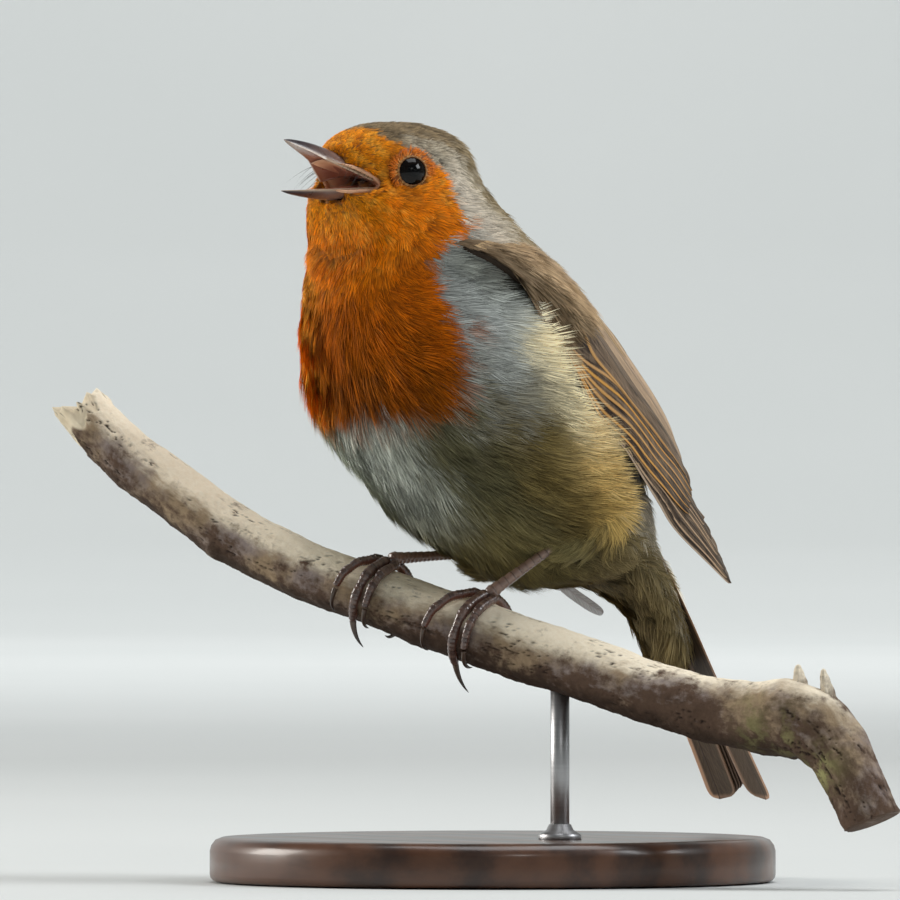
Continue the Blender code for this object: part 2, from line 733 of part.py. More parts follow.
def main():
    clear_scene()
    olive = material("olive_feather", (0.20, 0.15, 0.09), 0.8)
    orange = material("orange_feather", (0.75, 0.22, 0.02), 0.8)
    buff = material("buff_feather", (0.48, 0.42, 0.30), 0.85)
    brown = material("wing_feather", (0.20, 0.13, 0.07), 0.7)
    dark_brown = material("flight_feather", (0.12, 0.08, 0.05), 0.65)
    horn = material("bill_horn", (0.05, 0.04, 0.04), 0.35)
    dark_eye = material("eye_gloss", (0.01, 0.01, 0.012), 0.05)
    scale = material("leg_scale", (0.16, 0.07, 0.05), 0.4)
    claw_finish = material("claw_horn", (0.04, 0.03, 0.03), 0.35)
    wood = material("perch_bark", (0.36, 0.30, 0.24), 0.85)
    stained = material("stand_wood", (0.09, 0.045, 0.025), 0.45)
    steel = material("stand_steel", (0.6, 0.6, 0.6), 0.3, 1.0)

    head, _, _, rump = make_body(olive, orange, buff)
    make_head_parts(head, horn, dark_eye)
    make_wings(brown, dark_brown)
    make_tail(rump, dark_brown)
    perch = make_perch(wood)
    make_stand(perch, stained, steel)
    body = body_cutter(GAP)
    make_leg("left", LEFT_FOOT, LEFT_TARSUS, LEFT_TOES, body, 1.0, scale, claw_finish, buff)
    make_leg("right", RIGHT_FOOT, RIGHT_TARSUS, RIGHT_TOES, body, 0.9, scale, claw_finish, buff)
    discard(body)
    settle()


main()
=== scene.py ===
import json
import math
import random
from contextlib import contextmanager

import bmesh
import bpy
import numpy as np
from mathutils import Matrix, Vector, noise

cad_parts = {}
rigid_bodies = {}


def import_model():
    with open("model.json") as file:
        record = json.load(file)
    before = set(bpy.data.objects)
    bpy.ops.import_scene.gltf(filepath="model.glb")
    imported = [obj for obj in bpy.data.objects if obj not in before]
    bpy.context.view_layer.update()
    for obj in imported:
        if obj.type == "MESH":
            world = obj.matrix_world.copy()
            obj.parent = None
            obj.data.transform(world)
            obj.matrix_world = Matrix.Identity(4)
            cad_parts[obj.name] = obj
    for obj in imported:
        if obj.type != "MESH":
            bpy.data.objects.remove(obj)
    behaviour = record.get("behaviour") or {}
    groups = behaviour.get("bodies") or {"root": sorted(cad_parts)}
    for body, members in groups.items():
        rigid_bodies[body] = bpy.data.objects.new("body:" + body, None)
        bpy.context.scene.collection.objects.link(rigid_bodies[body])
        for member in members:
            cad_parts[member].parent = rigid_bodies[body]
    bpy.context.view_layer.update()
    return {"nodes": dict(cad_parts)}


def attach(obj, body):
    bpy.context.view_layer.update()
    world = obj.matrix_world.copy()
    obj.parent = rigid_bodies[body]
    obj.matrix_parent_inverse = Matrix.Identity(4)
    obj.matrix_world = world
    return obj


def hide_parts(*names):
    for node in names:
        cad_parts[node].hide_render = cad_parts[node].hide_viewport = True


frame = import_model()
nodes = frame["nodes"]
scene = bpy.context.scene

# The bird's own frame is in millimetres: it faces -Y, its left side is +X, +Z is up.
birdToFrame = np.array([0.0, -8.0, 68.5])  # from there to the stand's underside
mm = 0.001


# small tools that every piece uses

def inFrame(points):
    # Bird millimetres to frame metres.
    return (np.asarray(points, float) + birdToFrame) * mm


def ease(x, low=0.0, high=1.0):
    x = np.clip((np.asarray(x, float) - low) / (high - low), 0.0, 1.0)
    return x * x * (3.0 - 2.0 * x)


def spline(values, t):
    # Rows of values read at stations t, smooth through every row.
    values = np.asarray(values, float)
    t = np.asarray(t, float)
    last = len(values) - 1
    i = np.clip(np.floor(t).astype(int), 0, last - 1)
    f = t - i
    if values.ndim > 1:
        f = f[..., None]
    a, b = values[np.maximum(i - 1, 0)], values[i]
    c, d = values[i + 1], values[np.minimum(i + 2, last)]
    return 0.5 * (2 * b + (c - a) * f + (2 * a - 5 * b + 4 * c - d) * f * f
                  + (3 * b - a - 3 * c + d) * f * f * f)


def unit(v):
    v = np.asarray(v, float)
    return v / np.maximum(np.linalg.norm(v, axis=-1, keepdims=True), 1e-9)


def roundAngles(count):
    return np.linspace(0, 2 * math.pi, count, endpoint=False)


def reachAlong(line):
    # How far along a line each of its points lies.
    return np.concatenate([[0.0], np.cumsum(np.linalg.norm(np.diff(line, axis=0), axis=1))])


def linear(r, g, b):
    # A colour as painters read it, 0 to 255, as light.
    return tuple(c / 255.0 / 12.92 if c <= 10.3 else ((c / 255.0 + 0.055) / 1.055) ** 2.4
                 for c in (r, g, b))


def addMesh(name, verts, faces, finish=None, smooth=True):
    # A mesh object from points in frame metres.
    mesh = bpy.data.meshes.new(name)
    mesh.from_pydata([tuple(v) for v in verts], [], [tuple(f) for f in faces])
    mesh.validate()
    if smooth:
        mesh.shade_smooth()
    piece = bpy.data.objects.new(name, mesh)
    scene.collection.objects.link(piece)
    if finish:
        mesh.materials.append(finish)
    return piece


def writeAttribute(mesh, name, values, kind="FLOAT", domain="POINT"):
    values = np.asarray(values, np.float32)
    made = mesh.attributes.get(name) or mesh.attributes.new(name, kind, domain)
    field = {"FLOAT": "value", "FLOAT_VECTOR": "vector", "FLOAT_COLOR": "color"}[kind]
    if kind == "FLOAT_COLOR" and values.shape[-1] == 3:
        values = np.concatenate([values, np.ones((len(values), 1), np.float32)], axis=1)
    made.data.foreach_set(field, values.ravel())


def readVectors(data, field="vector"):
    out = np.zeros(len(data) * 3, np.float32)
    data.foreach_get(field, out)
    return out.reshape(-1, 3)


def corners(mesh):
    return readVectors(mesh.vertices, "co").astype(float)


def vertexNormals(mesh):
    return readVectors(mesh.vertex_normals).astype(float)


@contextmanager
def editing(mesh):
    # A mesh opened for editing and written back afterwards.
    bm = bmesh.new()
    bm.from_mesh(mesh)
    yield bm
    bm.to_mesh(mesh)
    bm.free()


def settle(piece):
    # What the piece's modifiers make of it becomes its own plain mesh.
    graph = bpy.context.evaluated_depsgraph_get()
    mesh = bpy.data.meshes.new_from_object(piece.evaluated_get(graph), depsgraph=graph)
    old = piece.data
    piece.modifiers.clear()
    piece.data = mesh
    mesh.name = piece.name
    if old.users == 0:
        bpy.data.meshes.remove(old)
    return piece


def handOver(piece, slotName, *replaced):
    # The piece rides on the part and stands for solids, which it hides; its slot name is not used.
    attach(piece, "root")
    if replaced:
        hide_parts(*replaced)


# node trees, for finishes and for the coat

class Nodes:
    # a node tree, with short ways to add what the finishes and the coat use
    def __init__(self, tree):
        self.tree = tree

    def feed(self, socket, value):
        # A value is another node's output, a number or a colour: 0 to 255 by eye, or 0 to 1 as light.
        if isinstance(value, bpy.types.NodeSocket):
            self.tree.links.new(value, socket)
        elif socket.type == "RGBA":
            socket.default_value = (*(linear(*value) if max(value) > 1.0 else value), 1.0)
        else:
            socket.default_value = value

    def add(self, kind, inputs, output=0, **settings):
        # A new node, its inputs given by name or number; what comes back is one of its outputs.
        node = self.tree.nodes.new(kind)
        for key, value in settings.items():
            setattr(node, key, value)
        for key, value in inputs.items():
            self.feed(node.inputs[key], value)
        return node.outputs[output]

    def attribute(self, name, output="Fac"):
        return self.add("ShaderNodeAttribute", {}, output, attribute_name=name)

    def place(self):
        return self.add("ShaderNodeTexCoord", {}, "Object")

    def noise(self, scale, detail=3.0, vector=None, roughness=0.5):
        inputs = {"Scale": scale, "Detail": detail, "Roughness": roughness, "Vector": vector or self.place()}
        return self.add("ShaderNodeTexNoise", inputs, "Fac")

    def bands(self, inputs):
        return self.add("ShaderNodeTexWave", inputs, "Fac", wave_type="BANDS", bands_direction="Y")

    def span(self, value, low, high, toLow=0.0, toHigh=1.0):
        inputs = {"Value": value, "From Min": low, "From Max": high, "To Min": toLow, "To Max": toHigh}
        return self.add("ShaderNodeMapRange", inputs, "Result", interpolation_type="SMOOTHSTEP")

    def mix(self, factor, first, second, blend="MIX"):
        inputs = {0: factor, 6: first, 7: second}
        return self.add("ShaderNodeMix", inputs, 2, data_type="RGBA", blend_type=blend)

    def plus(self, a, b, clamp=False):
        return self.add("ShaderNodeMath", {0: a, 1: b}, operation="ADD", use_clamp=clamp)

    def minus(self, a, b):
        return self.add("ShaderNodeMath", {0: a, 1: b}, operation="SUBTRACT")

    def times(self, a, b):
        return self.add("ShaderNodeMath", {0: a, 1: b}, operation="MULTIPLY")

    def about(self, value, gain):
        # how far a value lies above or below a half, times a gain
        return self.times(self.minus(value, 0.5), gain)

    def vector(self, x, y, z):
        return self.add("ShaderNodeCombineXYZ", {0: x, 1: y, 2: z})

    def grey(self, level):
        return self.add("ShaderNodeCombineColor", {0: level, 1: level, 2: level})


class Finish(Nodes):
    # a material with its nodes and its shader
    def __init__(self, name):
        self.made = bpy.data.materials.new(name)
        self.made.use_nodes = True
        super().__init__(self.made.node_tree)

    def give(self, inputs):
        for key, value in inputs.items():
            self.feed(self.tree.nodes["Principled BSDF"].inputs[key], value)

    def bump(self, height, strength=0.5, distance=0.0002):
        inputs = {"Strength": strength, "Distance": distance, "Height": height}
        self.give({"Normal": self.add("ShaderNodeBump", inputs, "Normal")})


def nodeGroup(name, kind, inputs, outputs):
    # A group with named sockets; back come its nodes, what it is given and its output node.
    tree = bpy.data.node_groups.new(name, kind)
    for way, sockets in (("INPUT", inputs), ("OUTPUT", outputs)):
        for label, sort in sockets.items():
            tree.interface.new_socket(name=label, in_out=way, socket_type="NodeSocket" + sort)
    given, out = tree.nodes.new("NodeGroupInput"), tree.nodes.new("NodeGroupOutput")
    return Nodes(tree), given.outputs, out.inputs


# the camera, the light and the floor

studio = {
    "facing": 58.0,  # degrees round from the bird's front to its left
    "distance": 2.5,
    "aim": (0.0, -0.008, 0.0685),
    "width": 0.142857,  # how much of the bird's own plane the camera takes in
    "sensor": 36.0,
    # panels: place in metres to the camera's right, toward the camera and up, size, watts and tint
    "panels": {
        "skyPanel": ((0.25, -0.15, 2.6), (2.0, 2.0), 45.0, (0.97, 0.985, 1.0)),
        "leftPanel": ((-1.3, -0.35, 0.5), (0.6, 0.6), 13.0, (1.0, 0.96, 0.9)),
        "rightPanel": ((1.25, 0.3, 0.95), (0.6, 0.6), 11.0, (0.94, 0.97, 1.0)),
        "frontPanel": ((0.35, 1.7, 1.0), (0.2, 0.2), 1.6, (1.0, 0.99, 0.97)),
        "wallPanel": ((0.0, -2.0, 2.3), (2.6, 1.4), 88.0, (0.97, 0.985, 1.0)),
    },
    "wallAim": (0.0, -5.2, 0.9),
    "air": (0.86, 0.9, 0.94, 1.0), "airStrength": 0.12,
}


def cameraWay():
    turn = math.radians(studio["facing"])
    return Vector((math.sin(turn), -math.cos(turn), 0.0))


def makeCamera():
    way = cameraWay()
    lens = bpy.data.cameras.new("camera")
    lens.type = "PERSP"
    lens.sensor_width = studio["sensor"]
    lens.lens = studio["sensor"] * studio["distance"] / studio["width"]
    lens.clip_start = 0.2
    lens.clip_end = 30.0
    camera = bpy.data.objects.new("camera", lens)
    camera.location = Vector(studio["aim"]) + way * studio["distance"]
    camera.rotation_euler = way.to_track_quat("Z", "Y").to_euler()
    scene.collection.objects.link(camera)
    scene.camera = camera


def makeLight():
    toCamera = cameraWay()
    toRight = Vector((-toCamera.y, toCamera.x, 0.0))

    def around(right, forward, high):
        return toRight * right + toCamera * forward + Vector((0.0, 0.0, high))

    for name, (place, size, power, tint) in studio["panels"].items():
        lamp = bpy.data.lights.new(name, "AREA")
        lamp.shape = "RECTANGLE"
        lamp.size, lamp.size_y = size
        lamp.energy, lamp.color = power, tint
        panel = bpy.data.objects.new(name, lamp)
        panel.location = around(*place)
        aim = around(*studio["wallAim"]) if name == "wallPanel" else Vector(studio["aim"])
        panel.rotation_euler = (aim - panel.location).to_track_quat("-Z", "Y").to_euler()
        scene.collection.objects.link(panel)
    world = bpy.data.worlds.new("studioAir")
    world.use_nodes = True
    air = world.node_tree.nodes["Background"].inputs
    air["Color"].default_value, air["Strength"].default_value = studio["air"], studio["airStrength"]
    scene.world = world
    scene.view_settings.view_transform = "Standard"


def makeFloor():
    # A pale floor that curves up behind the bird, seen the same from all round.
    rings = [(0.0, 0.0), (1.2, 0.0), (3.4, 0.0), (4.0, 0.03), (4.5, 0.16), (4.9, 0.42), (5.1, 0.8),
             (5.2, 1.4), (5.2, 4.0)]
    count = 96
    verts = [(0.0, 0.0, -0.0002)]
    faces = []
    for radius, high in rings[1:]:
        for k in range(count):
            a = 2.0 * math.pi * k / count
            verts.append((radius * math.cos(a), radius * math.sin(a), high - 0.0002))
    for k in range(count):
        faces.append((0, 1 + k, 1 + (k + 1) % count))
    for row in range(len(rings) - 2):
        for k in range(count):
            j = (k + 1) % count
            low, high = 1 + row * count, 1 + (row + 1) * count
            faces.append((low + k, high + k, high + j, low + j))
    look = Finish("paleFloor")
    look.give({"Roughness": 0.9})
    tone = look.noise(3.0, 2.0)
    look.give({"Base Color": look.mix(tone, (206, 209, 207), (214, 216, 214))})
    floor = addMesh("floor", verts, faces, look.made)


makeCamera()
makeLight()
makeFloor()
print("camera, light and floor are in place")


# the lie of the body: what it measures at stations from the bill to the tail

body = {
    "headYaw": 10.0,  # the head turns to the bird's left about an upright axis
    "neckPivot": (0.0, -6.0),
    # back (y, z), belly (y, z), half width
    "stations": [
        (-24.3, 47.0, -25.3, 41.0, 3.6), (-22.0, 49.2, -24.8, 38.3, 6.2),
        (-18.0, 50.9, -24.4, 35.5, 8.6), (-13.0, 51.8, -24.3, 33.0, 10.2),
        (-7.5, 51.8, -24.4, 30.5, 11.3), (-2.5, 50.5, -24.6, 28.0, 12.4),
        (2.1, 46.5, -24.8, 25.0, 14.0), (6.7, 40.9, -24.9, 21.5, 16.2),
        (11.8, 34.6, -24.5, 15.5, 19.5), (18.0, 27.4, -22.5, 7.8, 22.7),
        (23.8, 20.3, -15.8, -3.6, 24.4), (28.5, 11.5, -7.4, -13.2, 23.6),
        (31.2, 2.7, 2.6, -18.8, 20.0), (33.0, -5.0, 13.5, -21.8, 15.4),
        (36.0, -12.0, 24.5, -21.4, 10.8), (40.5, -19.5, 34.0, -26.5, 7.8),
        (43.8, -27.5, 38.0, -33.5, 6.2),
    ],
}
lastStation = len(body["stations"]) - 1


def turned(points, share=1.0):
    # Points of the straight head as they stand once it has turned.
    points = np.asarray(points, float)
    angle = np.radians(body["headYaw"]) * np.asarray(share, float)
    x, y = points[..., 0] - body["neckPivot"][0], points[..., 1] - body["neckPivot"][1]
    out = points.copy()
    out[..., 0] = x * np.cos(angle) - y * np.sin(angle) + body["neckPivot"][0]
    out[..., 1] = x * np.sin(angle) + y * np.cos(angle) + body["neckPivot"][1]
    return out


def headShare(t):
    return 1.0 - ease(t, 4.0, 8.0)


def ringAt(t):
    # Centre and upward way (y, z), half height and half width of the body at stations.
    rows = spline(body["stations"], t)
    back, belly = rows[..., 0:2], rows[..., 2:4]
    up = unit(back - belly)
    return (back + belly) * 0.5, up, np.linalg.norm(back - belly, axis=-1) * 0.5, rows[..., 4]


def bodyPlace(points):
    # Station and angle of points near the body: 90 on the back, 0 at the side, -90 on the belly.
    stations = np.arange(0.0, lastStation + 0.01, 0.05)
    centre, up, tall, wide = ringAt(stations)
    across = np.stack([up[:, 1], -up[:, 0]], axis=1)
    t = np.zeros(len(points))
    for _ in range(3):
        straight = turned(points, -headShare(t))
        flat = straight[:, 1:3]
        off = np.abs(flat @ across.T - (centre * across).sum(1))
        high = np.abs(flat @ up.T - (centre * up).sum(1)) / tall
        t = stations[np.argmin(off + np.maximum(high - 1.15, 0.0) * 50.0, axis=1)]
    for _ in range(2):  # between two samples
        centre, up, tall, wide = ringAt(t)
        step = ringAt(np.minimum(t + 0.02, lastStation))[0] - centre
        slide = np.stack([up[:, 1], -up[:, 0]], axis=1)
        side = ((straight[:, 1:3] - centre) * slide).sum(1)
        moved = (step * slide).sum(1)
        nudge = side / np.where(np.abs(moved) < 1e-5, 1e-5, moved) * 0.02
        t = np.clip(t + np.clip(nudge, -0.05, 0.05), 0, lastStation)
    centre, up, tall, wide = ringAt(t)
    rise = ((straight[:, 1:3] - centre) * up).sum(1) / tall
    angle = np.degrees(np.arctan2(rise, np.abs(straight[:, 0]) / wide))
    return t, angle, straight


def bodyWays(t, angle, side):
    # The way toward the tail and the way up round the body at each place.
    def at(station, turn):
        centre, up, tall, wide = ringAt(station)
        a = np.radians(turn)
        flat = centre + up * (np.sin(a) * tall)[:, None]
        points = np.stack([np.cos(a) * wide * side, flat[:, 0], flat[:, 1]], axis=1)
        return turned(points, headShare(station))
    low, high = np.maximum(t - 0.15, 0.0), np.minimum(t + 0.15, lastStation)
    along = unit(at(high, angle) - at(low, angle))
    upward = unit(at(t, np.minimum(angle + 3.0, 90.0)) - at(t, np.maximum(angle - 3.0, -90.0)))
    return along, upward


# what colours the plumage has, from place to place

plumes = {
    # goldOrange serves as painted light on the bib, deepOrange and umberOrange partly as painted shade
    "orange": (255, 142, 8), "brightOrange": (255, 160, 18), "deepOrange": (206, 104, 5),
    "umberOrange": (156, 82, 5), "goldOrange": (255, 184, 54), "lidYellow": (232, 176, 72),
    "loreBrown": (150, 78, 14), "olive": (140, 122, 90), "crownOlive": (142, 122, 92),
    "crownStreak": (84, 70, 52), "sideGrey": (184, 172, 150), "lavenderGrey": (214, 202, 184),
    "breastGrey": (182, 186, 182), "cream": (252, 238, 198), "flankBuff": (226, 190, 112),
    "flankOlive": (126, 110, 66), "bellyGrey": (112, 108, 78), "bellyWhite": (224, 228, 216),
    "ventBuff": (150, 138, 92), "underTail": (160, 142, 100), "paleRump": (244, 234, 214),
    "rumpOlive": (130, 112, 76),
    # how far toward the tail the orange reaches, at angles from the belly up to the crown
    "bibAngles": (-90, -71, -53, -40, -31, -24, -20, -17, -13, -8, 5, 13, 16, 18, 20, 25, 32, 36, 48, 60,
                  72, 90),
    "bibEnds": (9.4, 9.42, 9.48, 9.58, 9.5, 9.2, 8.5, 7.7, 7.15, 6.75, 6.8, 6.95, 6.95, 6.4, 5.0, 4.2, 3.4,
                2.75, 2.15, 1.95, 1.85, 1.8),
}


def ripple(points, scale, seed):
    # Smooth noise from -1 to 1 over places in millimetres.
    total = np.zeros(len(points))
    draw = random.Random(seed)
    for octave in range(5):
        way = np.array([draw.uniform(-1, 1) for _ in range(3)])
        way = way / np.linalg.norm(way) * (1.0 + 0.55 * octave) / scale
        total += np.sin(points @ way * 2.0 * math.pi + draw.uniform(0, 6.28)) * 0.42
    return np.clip(total, -1.0, 1.0)


def plumageAt(t, angle, straight):
    # The plumage's colour at stations and angles round the body.
    shade = {name: np.array(linear(*value)) for name, value in plumes.items() if len(value) == 3}
    patchy = ripple(straight, 9.0, 4)
    fine = ripple(straight, 2.6, 7)

    def lay(colour, name, mask):
        colour += (shade[name] - colour) * np.clip(mask, 0, 1)[:, None]

    def blob(atT, atAngle, wideT, wideAngle):
        return np.exp(-((t - atT) / wideT) ** 2 - ((angle - atAngle) / wideAngle) ** 2)

    colour = np.tile(shade["olive"], (len(t), 1))
    lay(colour, "crownOlive", ease(5.0 - t, -0.6, 0.6))
    streaks = ripple(np.stack([angle * 0.35, t * 2.2, angle * 0.0], axis=1), 3.2, 41)
    lay(colour, "crownStreak", 0.75 * ease(streaks, 0.1, 0.8) * ease(6.2 - t, 0, 1.5))
    sides = ease(46 + 8 * fine - angle, -9, 9)
    lay(colour, "sideGrey", sides * ease(t, 2.4, 3.4))
    lay(colour, "lavenderGrey", sides * ease(t, 4.4, 5.8) * ease(38 - angle + 5 * patchy, -8, 12))
    lay(colour, "breastGrey", ease(t, 6.3, 7.2) * ease(26 - angle, 0, 16))
    lay(colour, "flankOlive", ease(t + 0.3 * patchy, 8.9, 10.6) * ease(22 - angle, 0, 20))
    # the mid belly is drawn a darker grey-olive, partly painted shade of the underside
    lay(colour, "bellyGrey", ease(t + 0.3 * fine, 9.0, 9.9) * ease(-28 - angle + 6 * patchy, -10, 14))
    lay(colour, "ventBuff", ease(t, 10.4, 11.9) * ease(-34 - angle, -16, 16))
    white = ease(t, 9.1, 9.6) * ease(10.9 - t, -0.9, 0.9) * ease(-60 - angle + 7 * fine, -8, 10)
    lay(colour, "bellyWhite", white)
    streak = np.exp(-((angle - np.interp(t, [8.6, 9.2, 10.4, 11.4, 12.4], [22, 12, 12, 6, 0])) / 11.0) ** 2)
    lay(colour, "cream", 1.1 * streak * ease(t, 8.4, 9.3) * ease(12.0 - t, 0, 1.6))
    lay(colour, "flankBuff", 0.8 * np.exp(-((angle - 5) / 15.0) ** 2) * ease(t, 10.2, 11.3)
                 * ease(13.6 - t, 0, 0.8))
    wingward = angle - np.interp(t, coat["wingStations"], coat["wingAngles"])
    lay(colour, "bellyWhite", 0.6 * np.exp(-((wingward + 9) / 8.0) ** 2) * ease(t, 6.6, 7.6)
                 * ease(9.4 - t, 0, 1.2))
    under = ease(t, 12.9, 13.8)
    lay(colour, "underTail", under * ease(20 - angle, -12, 12))
    lay(colour, "paleRump", under * np.exp(-((angle - 40) / 22.0) ** 2))
    lay(colour, "rumpOlive", under * ease(angle, 58, 72))

    ends = np.interp(angle + 3.0 * fine, plumes["bibAngles"], plumes["bibEnds"])
    bib = ease(ends - t + 0.16 * ripple(straight, 3.4, 11), -0.06, 0.06)
    bib = np.maximum(bib, 0.7 * blob(8.66, -12, 0.16, 3.0))
    orange = np.tile(shade["orange"], (len(t), 1))
    # brighter orange on the face and forehead, partly painted light from above
    lay(orange, "brightOrange", ease(3.2 - t, -1.0, 1.0) * 0.8)
    # random dabs of yellow and deeper orange: painted dappled highlights and shade on the ruffled feathers
    dabs = ripple(straight, 1.7, 57)
    lay(orange, "lidYellow", 0.5 * ease(dabs, 0.2, 0.9) * ease(9.5 - t, 0, 4))
    lay(orange, "deepOrange", 0.6 * ease(-dabs, 0.3, 0.9) * ease(7.5 - t, 0, 2))
    shadedSide = ease(straight[:, 0], -7.0, 3.0)  # painted shade: the bib is drawn darker in the middle and on its left side, where little light falls
    # painted light: golden orange along the bib's right side, the edge that the light reaches
    lay(orange, "goldOrange", 0.8 * (1 - shadedSide) * ease(t, 5.0, 7.0) * ease(-angle, -20, 20))
    # painted shade: deeper and umber orange over the lower breast, strongest on the shaded side, with fine
    # noise
    lay(orange, "deepOrange", ease(t + 0.5 * patchy, 4.4, 7.6) * ease(6 - angle, -12, 12)
                 * (0.1 + 0.8 * shadedSide) + 0.3 * ease(fine, 0.1, 0.9))
    lay(orange, "umberOrange", ease(t + 0.7 * patchy, 7.4, 9.4) * ease(2 - angle, -10, 14) * shadedSide)
    lay(orange, "loreBrown", 0.75 * blob(2.6, 22, 0.5, 13) + 0.6 * blob(3.9, -6, 0.9, 6))
    lay(orange, "lidYellow", 0.8 * blob(3.9, 12, 0.35, 8) + 0.5 * blob(2.5, 4, 0.3, 6))
    return colour + (orange - colour) * bib[:, None]


bill = {
    "gape": (-19.5, 41.5), "upperTip": (-34.0, 49.2), "lowerTip": (-34.8, 40.7), "reach": 14.6,
    # feathered collars where brow and chin run out over the horn: middle, radii, slope in degrees
    "collars": [((0.0, -22.1, 46.4), (3.3, 2.8, 1.6), -26.0), ((0.0, -23.5, 39.4), (2.6, 2.8, 1.1), 2.0)],
}

mouth = {
    # half of the rim, from the upper bill's edge round the corner to the lower bill's edge
    "rim": [(2.35, -26.2, 45.2), (3.9, -24.3, 44.8), (5.3, -22.2, 43.9), (6.2, -20.3, 42.7),
            (6.5, -19.3, 41.5), (5.9, -20.6, 40.95), (4.9, -22.6, 40.75), (3.7, -24.8, 40.75),
            (2.3, -26.2, 41.0)],
    "pinch": 0.2,
    "roof": (0.0, -26.0, 45.7), "floor": (0.0, -26.2, 40.7),
    "middle": (0.0, 43.2),
    "throat": (0.0, -17.4, 42.2),
    "flange": 0.44,
}


def mouthRing(count):
    # Evenly counted points on a smooth loop round the mouth's rim.
    rim = np.array(mouth["rim"])
    loop = np.concatenate([[mouth["roof"]], rim, [mouth["floor"]], (rim * [-1, 1, 1])[::-1]])
    n = len(loop)
    return spline(np.concatenate([loop, loop, loop]), n + np.arange(count) * n / count)


def mouthPlace(straight):
    # Share of the way from the mouth's middle to its rim, and how far back the rim lies there.
    ring = mouthRing(160)
    high = ring[:, 2] - mouth["middle"][1]
    a = np.arctan2(high, ring[:, 0])
    order = np.argsort(a)
    x, z = straight[:, 0], straight[:, 2] - mouth["middle"][1]
    radius, rimAt = (np.interp(np.arctan2(z, x), a[order], values[order], period=2 * math.pi)
                     for values in (np.hypot(ring[:, 0], high), ring[:, 1]))
    return np.where(straight[:, 1] < -17.0, np.hypot(x, z) / radius, 9.0), rimAt


def hollowMouth(straight):
    # How far back the flesh must stand to leave the mouth's funnel free.
    share, rimAt = mouthPlace(straight)
    deep = rimAt + (mouth["throat"][1] - rimAt) * (1.0 - np.clip(share, 0, 1)) ** 0.8 + 0.75
    return ease(1.16 - share, 0.0, 0.1) * np.where(share < 1.16, np.maximum(deep - straight[:, 1], 0.0), 0.0)


# the skin: one surface under the whole coat

flesh = {
    "nodes": ("head", "neck", "trunk", "rump", "thigh_left", "thigh_right"),
    "swell": 0.00033,  # closes the clear space between the solids
    "voxel": 0.00055,
    "faceDepth": 0.45,  # how far the skin lies under the coat, millimetres
    "bodyDepth": 1.5,
    "eye": (7.9, -15.2, 43.8),
    "eyeFacing": (0.91, -0.41, 0.06),
    "eyeRadius": 3.2,
    "eyeOpening": 2.2,
    "leftFoot": (9.0, 1.3, -23.0), "leftTarsus": (4.2, 10.7, 8.3),
    "rightFoot": (-7.2, -6.9, -17.3), "rightTarsus": (-0.05, 0.99, 0.05),
}


def eyeAt(side):
    x, y, z = flesh["eye"]
    return turned([x * side, y, z])


def eyeDistance(places):
    return np.minimum(*[np.linalg.norm(places - eyeAt(side), axis=1) for side in (1, -1)])


def eyeWay(side):
    x, y, z = flesh["eyeFacing"]
    pivot = np.array([*body["neckPivot"], 0.0])
    return unit(turned(np.array([x * side, y, z]) + pivot) - pivot)


def mergedCopy(names, newName):
    # Copies of solids, each with its loose triangles joined up.
    bm = bmesh.new()
    for name in names:
        bm.from_mesh(nodes[name].data)
    bmesh.ops.remove_doubles(bm, verts=bm.verts, dist=1e-6)
    mesh = bpy.data.meshes.new(newName)
    bm.to_mesh(mesh)
    bm.free()
    piece = bpy.data.objects.new(newName, mesh)
    scene.collection.objects.link(piece)
    return piece


def pinched(straight):
    # The muzzle is narrower at the level of the mouth than the cheeks are.
    share = np.exp(-((straight[:, 2] - 42.8) / 3.0) ** 2) * ease(-15.5 - straight[:, 1], 0.0, 4.0)
    return straight * np.stack([1.0 - mouth["pinch"] * share, share * 0 + 1, share * 0 + 1], axis=1)


def addCollars(piece):
    # Rounded collars over the roots of both halves of the bill.
    with editing(piece.data) as bm:
        for middle, radii, slope in bill["collars"]:
            tilt = Matrix.Rotation(math.radians(slope), 3, "X")
            for vert in bmesh.ops.create_uvsphere(bm, u_segments=32, v_segments=20, radius=1.0)["verts"]:
                flat = tilt @ Vector([c * r for c, r in zip(vert.co, radii)])
                vert.co = Vector(inFrame(turned(np.array(flat) + np.array(middle))))


def largestPart(piece):
    # Only the largest of a mesh's separate shells stays.
    with editing(piece.data) as bm:
        unseen, best = set(bm.verts), set()
        while unseen:
            stack = [unseen.pop()]
            group = set(stack)
            while stack:
                for edge in stack.pop().link_edges:
                    fresh = unseen.intersection(edge.verts)
                    unseen -= fresh
                    group |= fresh
                    stack.extend(fresh)
            best = max(best, group, key=len)
        bmesh.ops.delete(bm, geom=[v for v in bm.verts if v not in best], context="VERTS")


